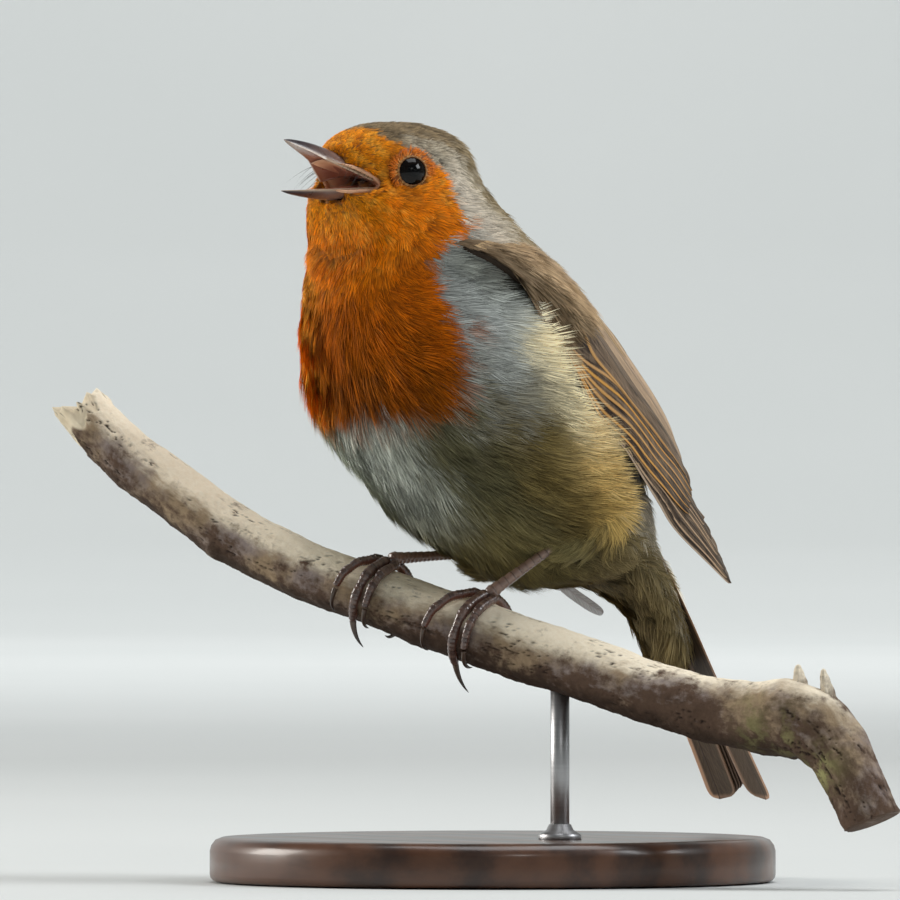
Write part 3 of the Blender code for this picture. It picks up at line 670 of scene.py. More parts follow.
def makeSkin(finish):
    skin = mergedCopy(flesh["nodes"], "skin")
    addCollars(skin)
    swell = skin.modifiers.new("swell", "DISPLACE")
    swell.strength, swell.mid_level = flesh["swell"], 0.0
    weld = skin.modifiers.new("weld", "REMESH")
    weld.mode, weld.voxel_size = "VOXEL", flesh["voxel"]
    soft = skin.modifiers.new("soft", "SMOOTH")
    soft.factor, soft.iterations = 0.5, 5
    settle(skin)
    largestPart(skin)
    mesh = skin.data
    place = corners(mesh) / mm - birdToFrame
    t, angle, straight = bodyPlace(place)
    near = eyeDistance(place)
    depth = flesh["faceDepth"] + (flesh["bodyDepth"] - flesh["faceDepth"]) * ease(t, 2.5, 8.0)
    depth += 1.7 * ease(t, 9.2, 10.4) * ease(13.0 - t, 0.0, 1.6) * ease(-30 - angle, -12, 22)
    depth += 0.9 * ease(t, 5.0, 6.4) * ease(8.6 - t, 0.0, 1.0) * ease(angle, 12, 40)
    depth += 1.1 * ease(4.6 - t, 0.0, 1.2) * ease(-angle, 40, 70)
    depth -= 0.3 * ease(3.2 - t, 0.0, 1.0) * ease(angle, 35, 60)
    depth -= 0.5 * np.exp(-((t - 5.5) / 0.6) ** 2) * ease(angle, 35, 60)
    depth += 0.9 * ease(t, 13.2, 14.4) * ease(angle, -10, 30)
    depth += 0.9 * np.exp(-((t - 8.6) / 0.7) ** 2) * ease(-angle, 40, 65)
    depth -= 0.2 * ease(t, 12.2, 13.8)
    depth = depth * ease(near, 2.6, 5.0) + 0.25 * (1 - ease(near, 2.6, 5.0))
    # near the tail the skin shrinks toward the body's middle line, elsewhere along its normals
    tailward = ease(t, 12.4, 13.6)[:, None]
    flat, middle = straight[:, 1:3], ringAt(t)[0]
    inward = unit(np.concatenate([straight[:, :1], flat - middle], axis=1))
    inward = vertexNormals(mesh) * (1 - tailward) + inward * tailward
    straight = pinched(turned(place - inward * depth[:, None], -headShare(t)))
    straight = straight + np.array([0, 1.0, 0]) * hollowMouth(straight)[:, None]
    moved = inFrame(turned(straight, headShare(t)))
    mesh.vertices.foreach_set("co", moved.astype(np.float32).ravel())
    mesh.update()
    mesh.shade_smooth()
    mesh.materials.clear()
    mesh.materials.append(finish)
    return skin


def legLine(side):
    # The ball of a foot and the way up its leg.
    word = "left" if side > 0 else "right"
    return np.array(flesh[word + "Foot"]), unit(flesh[word + "Tarsus"])


coat = {
    "faceLength": 1.45, "headLength": 3.1, "bodyLength": 6.6,  # tufts, millimetres
    "patch": 0.003,  # a tuft's share of the bake's map
    "skinShare": 0.6,  # how far shading follows the skin
    # where the wing's lower edge crosses the body
    "wingStations": (6.7, 7.42, 8.29, 9.1, 9.68, 10.37, 11.22, 12.26, 12.89),
    "wingAngles": (1.7, 11.0, 20.4, 26.5, 26.0, 24.0, 21.1, 22.2, 23.4),
    "crowding": 2.2e6,  # tufts tried on a square metre at 1 mm
    "spreads": {"TurnSpread": 0.2, "LiftSpread": 0.07, "SizeSpread": 0.16},
    "shoulderSpacing": 0.62, "shoulderSpreads": {"TurnSpread": 0.16, "LiftSpread": 0.05, "SizeSpread": 0.18},
    "reach": 0.62,  # where along a tuft its colour is read
}


def writeLie(mesh, colour, lie, size, lift, density, where):
    # What the scattering reads: size in millimetres, lift in degrees, where as bodyPlace gives it.
    t, angle, straight = where
    a = np.radians(np.where(straight[:, 0] >= 0, angle, 180.0 - angle))
    writeAttribute(mesh, "plumage", colour, "FLOAT_COLOR")
    writeAttribute(mesh, "lie", lie, "FLOAT_VECTOR")
    writeAttribute(mesh, "tuftSize", size * mm)
    writeAttribute(mesh, "lift", np.radians(lift))
    writeAttribute(mesh, "density", density)
    writeAttribute(mesh, "ringWay", np.stack([np.cos(a), np.sin(a), t / lastStation], axis=1), "FLOAT_VECTOR")


def describeSkin(skin):
    # Writes on the skin all that its coat needs: colour, lie, size, lift and thinness.
    mesh = skin.data
    place = corners(mesh) / mm - birdToFrame
    normal = vertexNormals(mesh)
    t, angle, straight = bodyPlace(place)
    side = np.where(straight[:, 0] >= 0, 1.0, -1.0)
    along, upward = bodyWays(t, angle, side)

    sweep = 1.25 * ease(t, 5.6, 7.2) * ease(13.4 - t, 0.0, 2.4)
    sweep *= ease(angle, -72, -22) * ease(62 - angle, 0, 34)
    cheek = 0.75 * ease(t, 2.6, 4.0) * ease(7.0 - t, 0, 1.2) * ease(angle, -34, 0)
    cheek *= ease(52 - angle, 0, 28)
    lie = along + upward * (sweep + cheek)[:, None]
    wander = ripple(straight, 11.0, 21) + 0.5 * ripple(straight, 4.0, 22)
    lie = unit(lie) + 0.2 * np.cross(normal, unit(lie)) * wander[:, None]

    size = coat["faceLength"] + (coat["headLength"] - coat["faceLength"]) * ease(t, 1.2, 5.0)
    size = size + (coat["bodyLength"] - coat["headLength"]) * ease(t, 4.6, 9.0)
    size = size * (1.0 - 0.3 * ease(2.6 - t, 0.0, 2.0))
    near = eyeDistance(place)
    size = size * (0.42 + 0.58 * ease(near, 2.6, 6.5))
    lift = 2.5 + 2.5 * ease(t, 2.0, 4.0) + 7.0 * ease(t, 6.0, 9.0)
    lift = lift + 4.0 * np.exp(-((t - 5.4) / 0.6) ** 2) * ease(angle, 35, 60)
    fromWing = angle - np.interp(t, coat["wingStations"], coat["wingAngles"])
    flankEdge = np.exp(-((fromWing + 21) / 9.0) ** 2) * ease(t, 7.2, 8.8) * ease(12.8 - t, 0, 1.0)
    nearWing = ease(t, 5.3, 6.4) * ease(7.6 - t, 0.0, 0.6) * ease(angle, 0, 12)
    nearWing *= ease(70 - angle, 0, 20)
    lift = lift + 9.0 * flankEdge + 4.0 * nearWing - 9.0 * ease(t, 12.0, 13.2)
    size = size * (1.0 + 0.15 * flankEdge + 0.15 * nearWing)
    density = np.ones(len(t))
    fringe = fromWing + 9.0 * ease(10.9 - t, 0.0, 0.9) * ease(t, 8.4, 9.4)
    underWing = ease(fringe, -19, -12) * ease(t, 7.1, 7.9) * ease(13.0 - t, 0.0, 0.6)
    underWing *= ease(np.abs(straight[:, 0]), 8.0, 10.5)
    density *= 1.0 - underWing

    for leg in (1, -1):  # feathers of the thigh run down the leg
        foot, way = legLine(leg)
        reach = (place - foot) @ way
        off = np.linalg.norm(place - foot - reach[:, None] * way, axis=1)
        onLeg = ease(5.6 - off, 0.0, 2.0) * ease(reach, 8.0, 11.0) * ease(26.0 - reach, 0, 3.0)
        onLeg *= ease(-8.0 - place[:, 2], 0.0, 4.0)
        lie = lie * (1 - onLeg[:, None]) - way * onLeg[:, None]
        size = size * (1 - 0.5 * onLeg)
        bare = ease(1.6 - off, 0.0, 0.4) * (reach < 22)
        density *= 1 - bare

    for s in (1, -1):  # bare inside the lids, and below inside the mouth
        outward = (place - eyeAt(s)) @ eyeWay(s)
        away = np.linalg.norm(place - eyeAt(s) - outward[:, None] * eyeWay(s), axis=1)
        density *= np.where((outward > -1.0) & (away < flesh["eyeOpening"] + 0.02), 0.0, 1.0)
    density *= np.where(mouthPlace(straight)[0] < 1.02, 0.0, 1.0)
    density *= 1.0 - ease((normal * along).sum(1), 0.72, 0.86) * (t > 13.0)
    lie = unit(lie - normal * (lie * normal).sum(1, keepdims=True))
    colour = plumageAt(*bodyPlace(place + lie * (size * coat["reach"])[:, None]))
    writeLie(mesh, colour, lie, size, lift, density, (t, angle, straight))
    return t, angle


# tufts: small loose feathers, each a fan of soft barbs

def makeTuft(name, barbs, steps, barbWidth, spread, droop, seed):
    draw = random.Random(seed)
    verts, faces, place, tone, patch = [], [], [], [], []
    for k in range(barbs):
        f = 2.0 * k / (barbs - 1) - 1.0 + draw.uniform(-0.5, 0.5) / barbs
        long = 1.0 - 0.28 * f * f + draw.uniform(-0.16, 0.1)
        bend = draw.uniform(-0.05, 0.05)
        high = draw.uniform(-0.035, 0.035)
        own = draw.random()
        first = len(verts)
        for row in range(steps + 1):
            y = row / steps
            x = 0.05 * f + spread * f * y ** 0.85 * (1.0 - 0.22 * y) + bend * y * y
            z = (0.13 + high) * y - droop * y * y
            half = barbWidth * 0.5 * (1.0 - 0.72 * y ** 1.5)
            if row == steps:
                verts.append((x, long, z))
                place.append(1.0)
                patch.append((0.5 * f, 1.0, 0.0))
            else:
                for edge in (-1, 1):
                    verts.append((x + edge * half, long * y, z - 0.004 * edge))
                    place.append(y)
                    patch.append((0.5 * f + edge * 0.04, y, 0.0))
        tone.extend([own] * (len(verts) - first))
        for row in range(steps - 1):
            a = first + 2 * row
            faces.append((a, a + 1, a + 3, a + 2))
        a = first + 2 * (steps - 1)
        faces.append((a, a + 1, a + 2))
    tuft = addMesh(name, verts, faces)
    writeAttribute(tuft.data, "barbPlace", place)
    writeAttribute(tuft.data, "barbTone", tone)
    writeAttribute(tuft.data, "patch", patch, "FLOAT_VECTOR")
    return tuft


def tuftSet(name, count, **shape):
    # A hidden collection of like tufts for the scattering to choose from.
    group = bpy.data.collections.new(name)
    scene.collection.children.link(group)
    for i in range(count):
        tuft = makeTuft(name + str(i), seed=100 + i, **shape)
        scene.collection.objects.unlink(tuft)
        group.objects.link(tuft)
        tuft.hide_render = True
    return group


def clearTufts(group):
    for tuft in list(group.objects):
        bpy.data.objects.remove(tuft)
    bpy.data.collections.remove(group)


def coatTree():
    # Scatters tufts over a skin and lays them the way its attributes say.
    made, given, out = nodeGroup("layCoat", "GeometryNodeTree", {
        "Geometry": "Geometry", "Tufts": "Collection", "Finish": "Material", "Spacing": "Float",
        "Crowding": "Float", "Turn Spread": "Float", "Lift Spread": "Float", "Size Spread": "Float",
        "Seed": "Int"}, {"Geometry": "Geometry"})
    made.tree.is_modifier = True
    add = made.add
    turn, lift, size = given["Turn Spread"], given["Lift Spread"], given["Size Spread"]

    def named(name, kind="FLOAT"):
        return add("GeometryNodeInputNamedAttribute", {"Name": name}, "Attribute", data_type=kind)

    def store(source, name, kind, value):
        inputs = {"Geometry": source, "Name": name, "Value": value}
        return add("GeometryNodeStoreNamedAttribute", inputs, data_type=kind, domain="POINT")

    def drawn(low, high, seedShift, kind="FLOAT"):
        first, output = (4, 2) if kind == "INT" else (2, 1)
        inputs = {"Seed": made.plus(given["Seed"], seedShift), first: low, first + 1: high}
        return add("FunctionNodeRandomValue", inputs, output, data_type=kind)

    scattered = add("GeometryNodeDistributePointsOnFaces", {
        "Mesh": given["Geometry"], "Distance Min": given["Spacing"], "Density Max": given["Crowding"],
        "Density Factor": named("density"), "Seed": given["Seed"]}, "Points", distribute_method="POISSON")
    normal = scattered.node.outputs["Normal"]
    points = store(scattered, "rootNormal", "FLOAT_VECTOR", normal)
    points = store(points, "tuftTone", "FLOAT", drawn(0.0, 1.0, 1))

    alongLie = add("FunctionNodeAlignRotationToVector", {"Vector": named("lie", "FLOAT_VECTOR")}, axis="Y")
    upright = add("FunctionNodeAlignRotationToVector", {"Rotation": alongLie, "Vector": normal}, axis="Z",
                  pivot_axis="Y")
    liftBack, turnBack = made.times(lift, -1.0), made.times(turn, -1.0)
    angles = made.vector(made.plus(named("lift"), drawn(liftBack, lift, 2)), drawn(turnBack, turn, 4),
                         drawn(turnBack, turn, 3))
    wobble = add("FunctionNodeEulerToRotation", {"Euler": angles})
    laid = add("FunctionNodeRotateRotation", {"Rotation": upright, "Rotate By": wobble},
               rotation_space="LOCAL")

    tuft = add("GeometryNodeCollectionInfo", {"Collection": given["Tufts"], "Separate Children": True,
                                              "Reset Children": True})
    scale = made.times(named("tuftSize"), drawn(made.minus(1.0, size), made.plus(1.0, size), 6))
    whole = add("GeometryNodeInstanceOnPoints", {
        "Points": points, "Instance": tuft, "Pick Instance": True, "Instance Index": drawn(0, 63, 5, "INT"),
        "Rotation": laid, "Scale": scale})
    for spent in ("lie", "lift", "density", "tuftSize"):
        whole = add("GeometryNodeRemoveAttribute", {"Geometry": whole, "Name": spent})
    whole = add("GeometryNodeRealizeInstances", {"Geometry": whole})
    whole = add("GeometryNodeSetMaterial", {"Geometry": whole, "Material": given["Finish"]})
    made.feed(out["Geometry"], whole)
    return made.tree


def runTree(piece, tree, **values):
    # Puts a tree on a piece, sets its named inputs and keeps the mesh that it makes.
    step = piece.modifiers.new(tree.name, "NODES")
    step.node_group = tree
    for item in tree.interface.items_tree:
        if item.item_type == "SOCKET" and item.in_out == "INPUT" and item.name.replace(" ", "") in values:
            step[item.identifier] = values[item.name.replace(" ", "")]
    piece.update_tag()
    bpy.context.view_layer.update()
    return settle(piece)


def keepFaces(source, name, wanted):
    # A copy of a mesh object with only the faces whose first corner is wanted.
    piece = source.copy()
    piece.data = source.data.copy()
    piece.name = piece.data.name = name
    scene.collection.objects.link(piece)
    with editing(piece.data) as bm:
        lost = [f for f in bm.faces if not wanted[f.verts[0].index]]
        bmesh.ops.delete(bm, geom=lost, context="FACES")
    return piece


def finishTufts(piece, skinShare):
    # Gives scattered tufts their map for baking and a shading that half follows the skin.
    mesh = piece.data
    spent = ("patch", "ringWay", "rootNormal")
    patch, ring, root = (readVectors(mesh.attributes[name].data) for name in spent)
    u = np.arctan2(ring[:, 1], ring[:, 0]) / (2.0 * math.pi) + 0.5 + patch[:, 0] * coat["patch"]
    v = 0.01 + 0.98 * ring[:, 2] + (patch[:, 1] - 0.5) * coat["patch"]
    loops = np.zeros(len(mesh.loops), np.int32)
    mesh.loops.foreach_get("vertex_index", loops)
    layer = mesh.uv_layers.new(name="OFBake")
    layer.data.foreach_set("uv", np.stack([u[loops], v[loops]], axis=1).astype(np.float32).ravel())
    own = vertexNormals(mesh)
    root = root.astype(float)
    own *= np.where((own * root).sum(1, keepdims=True) < 0, -1.0, 1.0)
    mesh.shade_smooth()
    mesh.normals_split_custom_set_from_vertices(unit(root * skinShare + own * (1.0 - skinShare)))
    for name in spent:
        mesh.attributes.remove(mesh.attributes[name])


# plumage finishes

def barbShade():
    # Shader group: light and dark along and between the barbs of soft feathers.
    look, given, out = nodeGroup("barbShade", "ShaderNodeTree", {
        "Colour": "Color", "Place": "Float", "Tone": "Float", "Tuft Tone": "Float", "Root Shade": "Float",
        "Contrast": "Float"}, {"Colour": "Color", "Roughness": "Float"})
    root = given["Root Shade"]
    rooted = look.plus(root, look.times(look.span(given["Place"], 0.0, 0.85), look.minus(1.08, root)))
    tones = look.plus(look.about(given["Tone"], given["Contrast"]), look.about(given["Tuft Tone"], 0.34))
    level = look.times(rooted, look.plus(1.0, tones))
    look.feed(out["Colour"], look.mix(1.0, given["Colour"], look.grey(level), "MULTIPLY"))
    look.feed(out["Roughness"], look.span(given["Tone"], 0.0, 1.0, 0.62, 0.85))
    return look.tree


def featherFinish(name, shade, rootShade, contrast):
    look = Finish(name)
    inputs = {"Colour": look.attribute("plumage", "Color"), "Place": look.attribute("barbPlace"),
              "Tone": look.attribute("barbTone"), "Tuft Tone": look.attribute("tuftTone"),
              "Root Shade": rootShade, "Contrast": contrast}
    colour = look.add("ShaderNodeGroup", inputs, "Colour", node_tree=shade)
    look.give({"Base Color": colour, "Roughness": colour.node.outputs["Roughness"],
               "Specular IOR Level": 0.1, "Sheen Weight": 0.02, "Sheen Roughness": 0.5})
    return look.made


def skinFinish():
    look = Finish("skinUnderCoat")
    colour = look.attribute("plumage", "Color")
    mottled = look.noise(900.0, 3.0)
    # painted shade: the skin takes the plumage colour darkened to a third, so the gaps between tufts read as
    # shade
    shade = look.mix(1.0, colour, (0.32, 0.32, 0.32), "MULTIPLY")
    look.give({"Base Color": look.mix(mottled, shade, look.mix(0.5, shade, (0.02, 0.018, 0.016))),
               "Roughness": 0.9})
    look.bump(mottled, 0.4, 0.0003)
    return look.made


# name, slot, stations, angles, spacing in millimetres, which tufts
coatRegions = [
    ("coat_face", "orange_feather", (0.0, 3.3), (-91, 91), 0.36, "fine"),
    ("coat_crown", "orange_feather", (3.3, 6.2), (8, 91), 0.52, "short"),
    ("coat_cheek", "orange_feather", (3.3, 6.2), (-91, 8), 0.52, "short"),
    ("coat_nape", "orange_feather", (6.2, 8.2), (-4, 91), 0.68, "long"),
    ("coat_throat", "orange_feather", (6.2, 8.2), (-91, -4), 0.66, "long"),
    ("coat_breast", "buff_feather", (8.2, 9.9), (-91, -4), 0.66, "long"),
    ("coat_belly", "buff_feather", (9.9, 11.6), (-91, -4), 0.74, "long"),
    ("coat_vent", "buff_feather", (11.6, 13.2), (-91, -4), 0.74, "long"),
    ("coat_flank", "buff_feather", (8.2, 13.2), (-4, 32), 0.72, "long"),
    ("coat_back", "buff_feather", (8.2, 13.2), (32, 91), 0.75, "long"),
    ("coat_rump", "olive_feather", (13.2, 16.1), (-91, 91), 0.72, "long"),
]


def makeCoat(skin):
    t, angle = describeSkin(skin)
    shade = barbShade()
    finish = featherFinish("softFeather", shade, 0.36, 0.75)
    sets = {
        "fine": tuftSet("fineTuft", 5, barbs=8, steps=2, barbWidth=0.09, spread=0.34, droop=0.1),
        "short": tuftSet("shortTuft", 5, barbs=12, steps=3, barbWidth=0.058, spread=0.34, droop=0.13),
        "long": tuftSet("longTuft", 6, barbs=17, steps=3, barbWidth=0.03, spread=0.32, droop=0.15),
    }
    tree = coatTree()
    total = 0
    for number, (name, slotName, reach, arc, spacing, kind) in enumerate(coatRegions):
        wanted = (t >= reach[0]) & (t < reach[1]) & (angle >= arc[0]) & (angle < arc[1])
        piece = keepFaces(skin, name, wanted)
        runTree(piece, tree, Tufts=sets[kind], Finish=finish, Spacing=spacing * mm,
                Crowding=coat["crowding"] / spacing ** 2, Seed=10 * number + 3, **coat["spreads"])
        finishTufts(piece, coat["skinShare"])
        handOver(piece, slotName)
        triangles = sum(len(p.vertices) - 2 for p in piece.data.polygons)
        total += triangles
        print(name, triangles)
    for group in sets.values():
        clearTufts(group)
    bpy.data.node_groups.remove(tree)
    print("coat triangles", total)


skin = makeSkin(skinFinish())
makeCoat(skin)
for spent in ("lie", "tuftSize", "lift", "density", "ringWay"):
    skin.data.attributes.remove(skin.data.attributes[spent])
handOver(skin, "orange_feather", *flesh["nodes"])
print("skin and coat are laid")


# the bill, the mouth and the eyes

class MeshBuilder:
    # gathers rings and sheets of points, with attributes, into one mesh
    def __init__(self):
        self.verts, self.faces, self.values = [], [], {}

    def add(self, rows, closedRing=True, caps=True, **values):
        # rows: an array of rings or strips of points; values: one number for each point
        rows = np.asarray(rows, float)
        count, size = rows.shape[0], rows.shape[1]
        first = len(self.verts)
        self.verts.extend(rows.reshape(-1, 3).tolist())
        for name, value in values.items():
            self.values.setdefault(name, []).extend(np.broadcast_to(value, (count, size)).ravel().tolist())
        last = size if closedRing else size - 1
        for r in range(count - 1):
            for k in range(last):
                a, b = first + r * size + k, first + r * size + (k + 1) % size
                self.faces.append((a, b, b + size, a + size))
        if closedRing and caps:
            for r, flip in ((0, True), (count - 1, False)):
                middle = len(self.verts)
                self.verts.append(rows[r].mean(axis=0).tolist())
                for name, value in values.items():
                    ring = np.broadcast_to(value, (count, size))[r]
                    self.values[name].append(float(np.mean(ring)))
                for k in range(size):
                    a, b = first + r * size + k, first + r * size + (k + 1) % size
                    self.faces.append((b, a, middle) if flip else (a, b, middle))

    def build(self, name, finish, smooth=True, tidy=True):
        piece = addMesh(name, inFrame(self.verts), self.faces, finish, smooth)
        for key, value in self.values.items():
            writeAttribute(piece.data, key, value)
        if tidy:
            outward(piece)
        return piece


def outward(piece):
    # every face points out of its own closed shell
    with editing(piece.data) as bm:
        bmesh.ops.recalc_face_normals(bm, faces=bm.faces)


def tubeRows(line, radii, sides, up=(0.0, 0.0, 1.0), flat=1.0):
    # rings round a line of points
    line = np.asarray(line, float)
    along = unit(np.gradient(line, axis=0))
    side = unit(np.cross(along, np.asarray(up, float)))
    top = np.cross(side, along)
    a = roundAngles(sides)
    radii = np.broadcast_to(np.asarray(radii, float).reshape(len(line), -1), (len(line), sides))
    return (line[:, None] + side[:, None] * (np.cos(a) * radii)[..., None]
            + top[:, None] * (np.sin(a) * radii * flat)[..., None])


def billFinish():
    look = Finish("billHorn")
    along, high, inner = (look.attribute(n) for n in ("billAlong", "billHigh", "billInner"))
    cloud = look.noise(700.0, 3.0)
    dark = look.mix(cloud, (38, 31, 34), (66, 52, 54))
    warm = look.mix(cloud, (98, 72, 66), (128, 98, 84))
    horn = look.mix(look.span(along, 0.25, 0.95), dark, warm)
    horn = look.mix(look.span(high, 0.35, 0.0, 0.0, 0.85), horn, (196, 168, 140))
    horn = look.mix(look.span(high, 0.7, 1.0, 0.0, 0.6), horn, (52, 48, 56))
    palate = look.mix(look.span(along, 0.2, 0.9), (150, 118, 96), (150, 92, 74))
    look.give({"Base Color": look.mix(inner, horn, palate),
               "Roughness": look.span(cloud, 0.2, 0.8, 0.24, 0.42), "Coat Weight": 0.35,
               "Coat Roughness": 0.15})
    waves = {"Scale": 420.0, "Distortion": 3.0, "Vector": look.place()}
    look.bump(look.bands(waves), 0.12, 0.00006)
    return look.made


def billHalf(name, upper, finish):
    tip = np.array([0.0, *(bill["upperTip"] if upper else bill["lowerTip"])])
    root = np.array([0.0, *bill["gape"]])
    along = unit(root - tip)
    out = np.cross(along, [1.0, 0.0, 0.0])
    if (out[2] > 0) != upper:
        out = -out
    d = bill["reach"] * np.linspace(0, 1, 56) ** 1.5
    share = d / 10.0
    full = np.minimum(share, 1.0)
    tall = np.maximum((2.75 if upper else 1.9) * full ** 0.6 + np.maximum(share - 1, 0) * 0.6, 0.16)
    wide = np.maximum((2.62 if upper else 2.42) * share ** 0.74 + np.maximum(share - 0.75, 0) * 4.1, 0.13)
    sink = -(0.5 if upper else 0.12) * (1 - ease(share)) ** 2
    centre = tip + along * d[:, None] + out * sink[:, None]
    outerCount, innerCount = 30, 18
    x = np.cos(np.linspace(0, math.pi, outerCount))
    arch = (1 - np.abs(x) ** 1.9) ** (0.72 if upper else 0.62)
    xi = np.cos(np.linspace(math.pi, 2 * math.pi, innerCount + 2))[1:-1]
    vault = 0.3 * (1 - xi ** 2) if upper else 0.22 * (1 - xi ** 2)
    rows = np.zeros((len(d), outerCount + innerCount, 3))
    rows[:, :outerCount] = (centre[:, None] + np.array([1.0, 0, 0]) * (x * wide[:, None])[..., None]
                            + out * (arch * tall[:, None])[..., None])
    rows[:, outerCount:] = (centre[:, None] + np.array([1.0, 0, 0]) * (xi * 0.93 * wide[:, None])[..., None]
                            + out * (vault * tall[:, None] * ease(share)[:, None] + 0.04)[..., None])
    high = np.concatenate([arch, np.zeros(innerCount)])
    inner = np.concatenate([np.zeros(outerCount), np.ones(innerCount)])
    if upper:  # the nostril, a slit low on each side near the feathers
        for side in (1, -1):
            spot = tip + along * 9.6 + out * 1.35 + np.array([side * 1.9, 0, 0])
            gap = rows[:, :outerCount] - spot
            reach = np.sqrt((gap @ along / 1.15) ** 2 + (gap @ out / 0.34) ** 2 + (gap[..., 0] / 1.2) ** 2)
            rows[:, :outerCount, 0] -= side * 0.42 * np.exp(-reach ** 2 * 1.3)
    build = MeshBuilder()
    build.add(turned(rows), billAlong=np.minimum(share, 1.0)[:, None], billHigh=high, billInner=inner)
    handOver(build.build("bill_" + name + "_horn", finish), "bill_horn", "bill_" + name)


def mouthFinish():
    look = Finish("mouthLining")
    deep = look.attribute("mouthDeep")
    cloud = look.noise(600.0, 3.0)
    rim = look.mix(cloud, (240, 190, 150), (214, 158, 122))
    flesh = look.mix(cloud, (172, 112, 88), (196, 138, 110))
    wall = look.mix(look.span(deep, 0.05, 0.3), rim, flesh)
    # painted shade: the lining darkens deeper into the mouth, toward the throat
    look.give({"Base Color": look.mix(look.span(deep, 0.35, 0.9), wall, (74, 32, 28)),
               "Roughness": 0.38, "Coat Weight": 0.3})
    look.bump(cloud, 0.3, 0.0001)
    return look.made


def makeMouth(finish):
    ring = mouthRing(80)
    rim = np.array(mouth["rim"])
    throat = np.array(mouth["throat"])
    deeps = np.linspace(0, 1, 22)
    rows = np.array([ring * (1 - 0.98 * r ** 0.9) + throat * 0.98 * r ** 0.9 for r in deeps])
    inner = turned(rows)
    middle = inner.mean(axis=(0, 1))
    back = inner + unit(inner - middle) * 0.25
    shell = np.concatenate([inner[::-1], back[:1] * 0.5 + inner[:1] * 0.5 + [0, -0.15, 0], back], axis=0)
    deep = np.concatenate([deeps[::-1], [0.0], deeps])
    build = MeshBuilder()
    build.add(shell, mouthDeep=deep[:, None])
    for side in (1, -1):  # the fleshy flange round each corner
        line = spline(rim * [side, 1, 1], np.linspace(0.6, 7.6, 44))
        thick = mouth["flange"] * (0.35 + 0.65 * np.sin(np.linspace(0, math.pi, 44)) ** 0.7)
        thick = thick * (1 + 0.06 * np.sin(np.arange(44) * 1.9))
        build.add(turned(tubeRows(line, thick, 14, up=(0.3, 1.0, 0.2))), mouthDeep=0.0)
    handOver(build.build("mouth", finish), "bill_horn")


def bristleFinish():
    look = Finish("bristleHair")
    colour = linear(30, 24, 20)
    lighter = tuple(c * 1.8 for c in colour)
    look.give({"Base Color": look.mix(look.noise(300.0, 2.0), colour, lighter), "Roughness": 0.5})
    return look.made


def makeBristles():
    # stiff hairs at the corners of the mouth, bent forward and down
    draw = random.Random(5)
    build = MeshBuilder()
    for side in (1, -1):
        for k in range(9):
            f = k / 8.0
            high = 45.1 - 1.9 * f + draw.uniform(-0.3, 0.3)
            start = np.array([side * (3.6 + 2.3 * f), -24.6 + 3.8 * f, high])
            way = unit([side * draw.uniform(0.5, 0.85), -1.0, draw.uniform(-0.75, -0.35)])
            long = draw.uniform(3.4, 5.2)
            s = np.linspace(0, 1, 10)[:, None]
            line = start + way * long * s + np.array([-side * 0.5, -0.3, -1.1]) * s ** 2
            build.add(turned(tubeRows(line, 0.035 * (1.05 - s), 6)))
    handOver(build.build("bristles", bristleFinish()), "bill_horn")


def eyeFinish():
    look = Finish("eyeGloss")
    off = look.attribute("gazeOff")
    rays = look.noise(2600.0, 2.0)
    iris = look.mix(rays, (11, 8, 6), (22, 15, 11))
    colour = look.mix(look.span(off, 0.3, 0.36), (4, 4, 5), iris)
    colour = look.mix(look.span(off, 0.62, 0.72), colour, (8, 6, 6))
    look.give({"Base Color": colour, "Roughness": 0.06, "Specular IOR Level": 0.24})
    return look.made


def eyeAxes(side):
    # Centre, outward way, across and up of an eye.
    way = eyeWay(side)
    across = unit(np.cross(way, [0, 0, 1]))
    return eyeAt(side), way, across, np.cross(across, way)


def onGlobe(eye, turn, radius, angle):
    # Places on an eye: turned out from its way, at angles round it.
    centre, way, across, up = eye
    off = np.sin(turn) * radius
    return (centre + way * (np.cos(turn) * radius)[..., None] + across * (off * np.cos(angle))[..., None]
            + up * (off * np.sin(angle))[..., None])


def makeLidFeathers(name, eye):
    # The finest feathers, on a ring of skin between the lids and the coat.
    tones = (linear(240, 132, 8), linear(250, 214, 140))
    centre, way, across, up = eye
    back = np.array([0.0, 1.0, -0.25])
    draw = random.Random(61)
    low = math.sqrt(flesh["eyeRadius"] ** 2 - 2.3 ** 2)

    def at(radius, angle, high):
        return (centre + across * (radius * math.cos(angle)) + up * (radius * math.sin(angle))
                + way * (low + high - 0.2 * max(radius - 2.3, 0.0)))

    build = MeshBuilder()
    rings = []
    for radius, high in ((2.28, 0.05), (2.7, 0.1), (3.2, 0.02), (3.7, -0.3), (3.4, -0.9), (2.4, -0.7)):
        rings.append([at(radius, 2 * math.pi * k / 60, high) for k in range(60)])
    build.add(np.array(rings + rings[:1]), caps=False, lidBead=-1.0)
    for _ in range(300):
        angle, start = draw.uniform(0, 2 * math.pi), 2.36 + 0.95 * draw.random() ** 1.3
        root = at(start, angle, 0.08)
        tone = (1 - ease(np.array(start), 2.34, 2.62)) * draw.uniform(0.2, 1.0)
        outward = unit(at(start + 0.4, angle, 0.17) - root)
        for _ in range(4):
            lean = unit(outward + 0.55 * back + 0.25 * np.array([draw.uniform(-1, 1) for _ in range(3)]))
            f = np.linspace(0, 1, 4)[:, None]
            line = root + lean * f * draw.uniform(0.7, 1.2) - way * (0.18 * f ** 2)
            build.add(tubeRows(line, 0.05 * (1.08 - f), 4), lidBead=float(tone) - 0.5 * draw.random() ** 2)
    handOver(build.build(name + "_lashes", lidFinish("lidPlume", *tones)), "orange_feather")


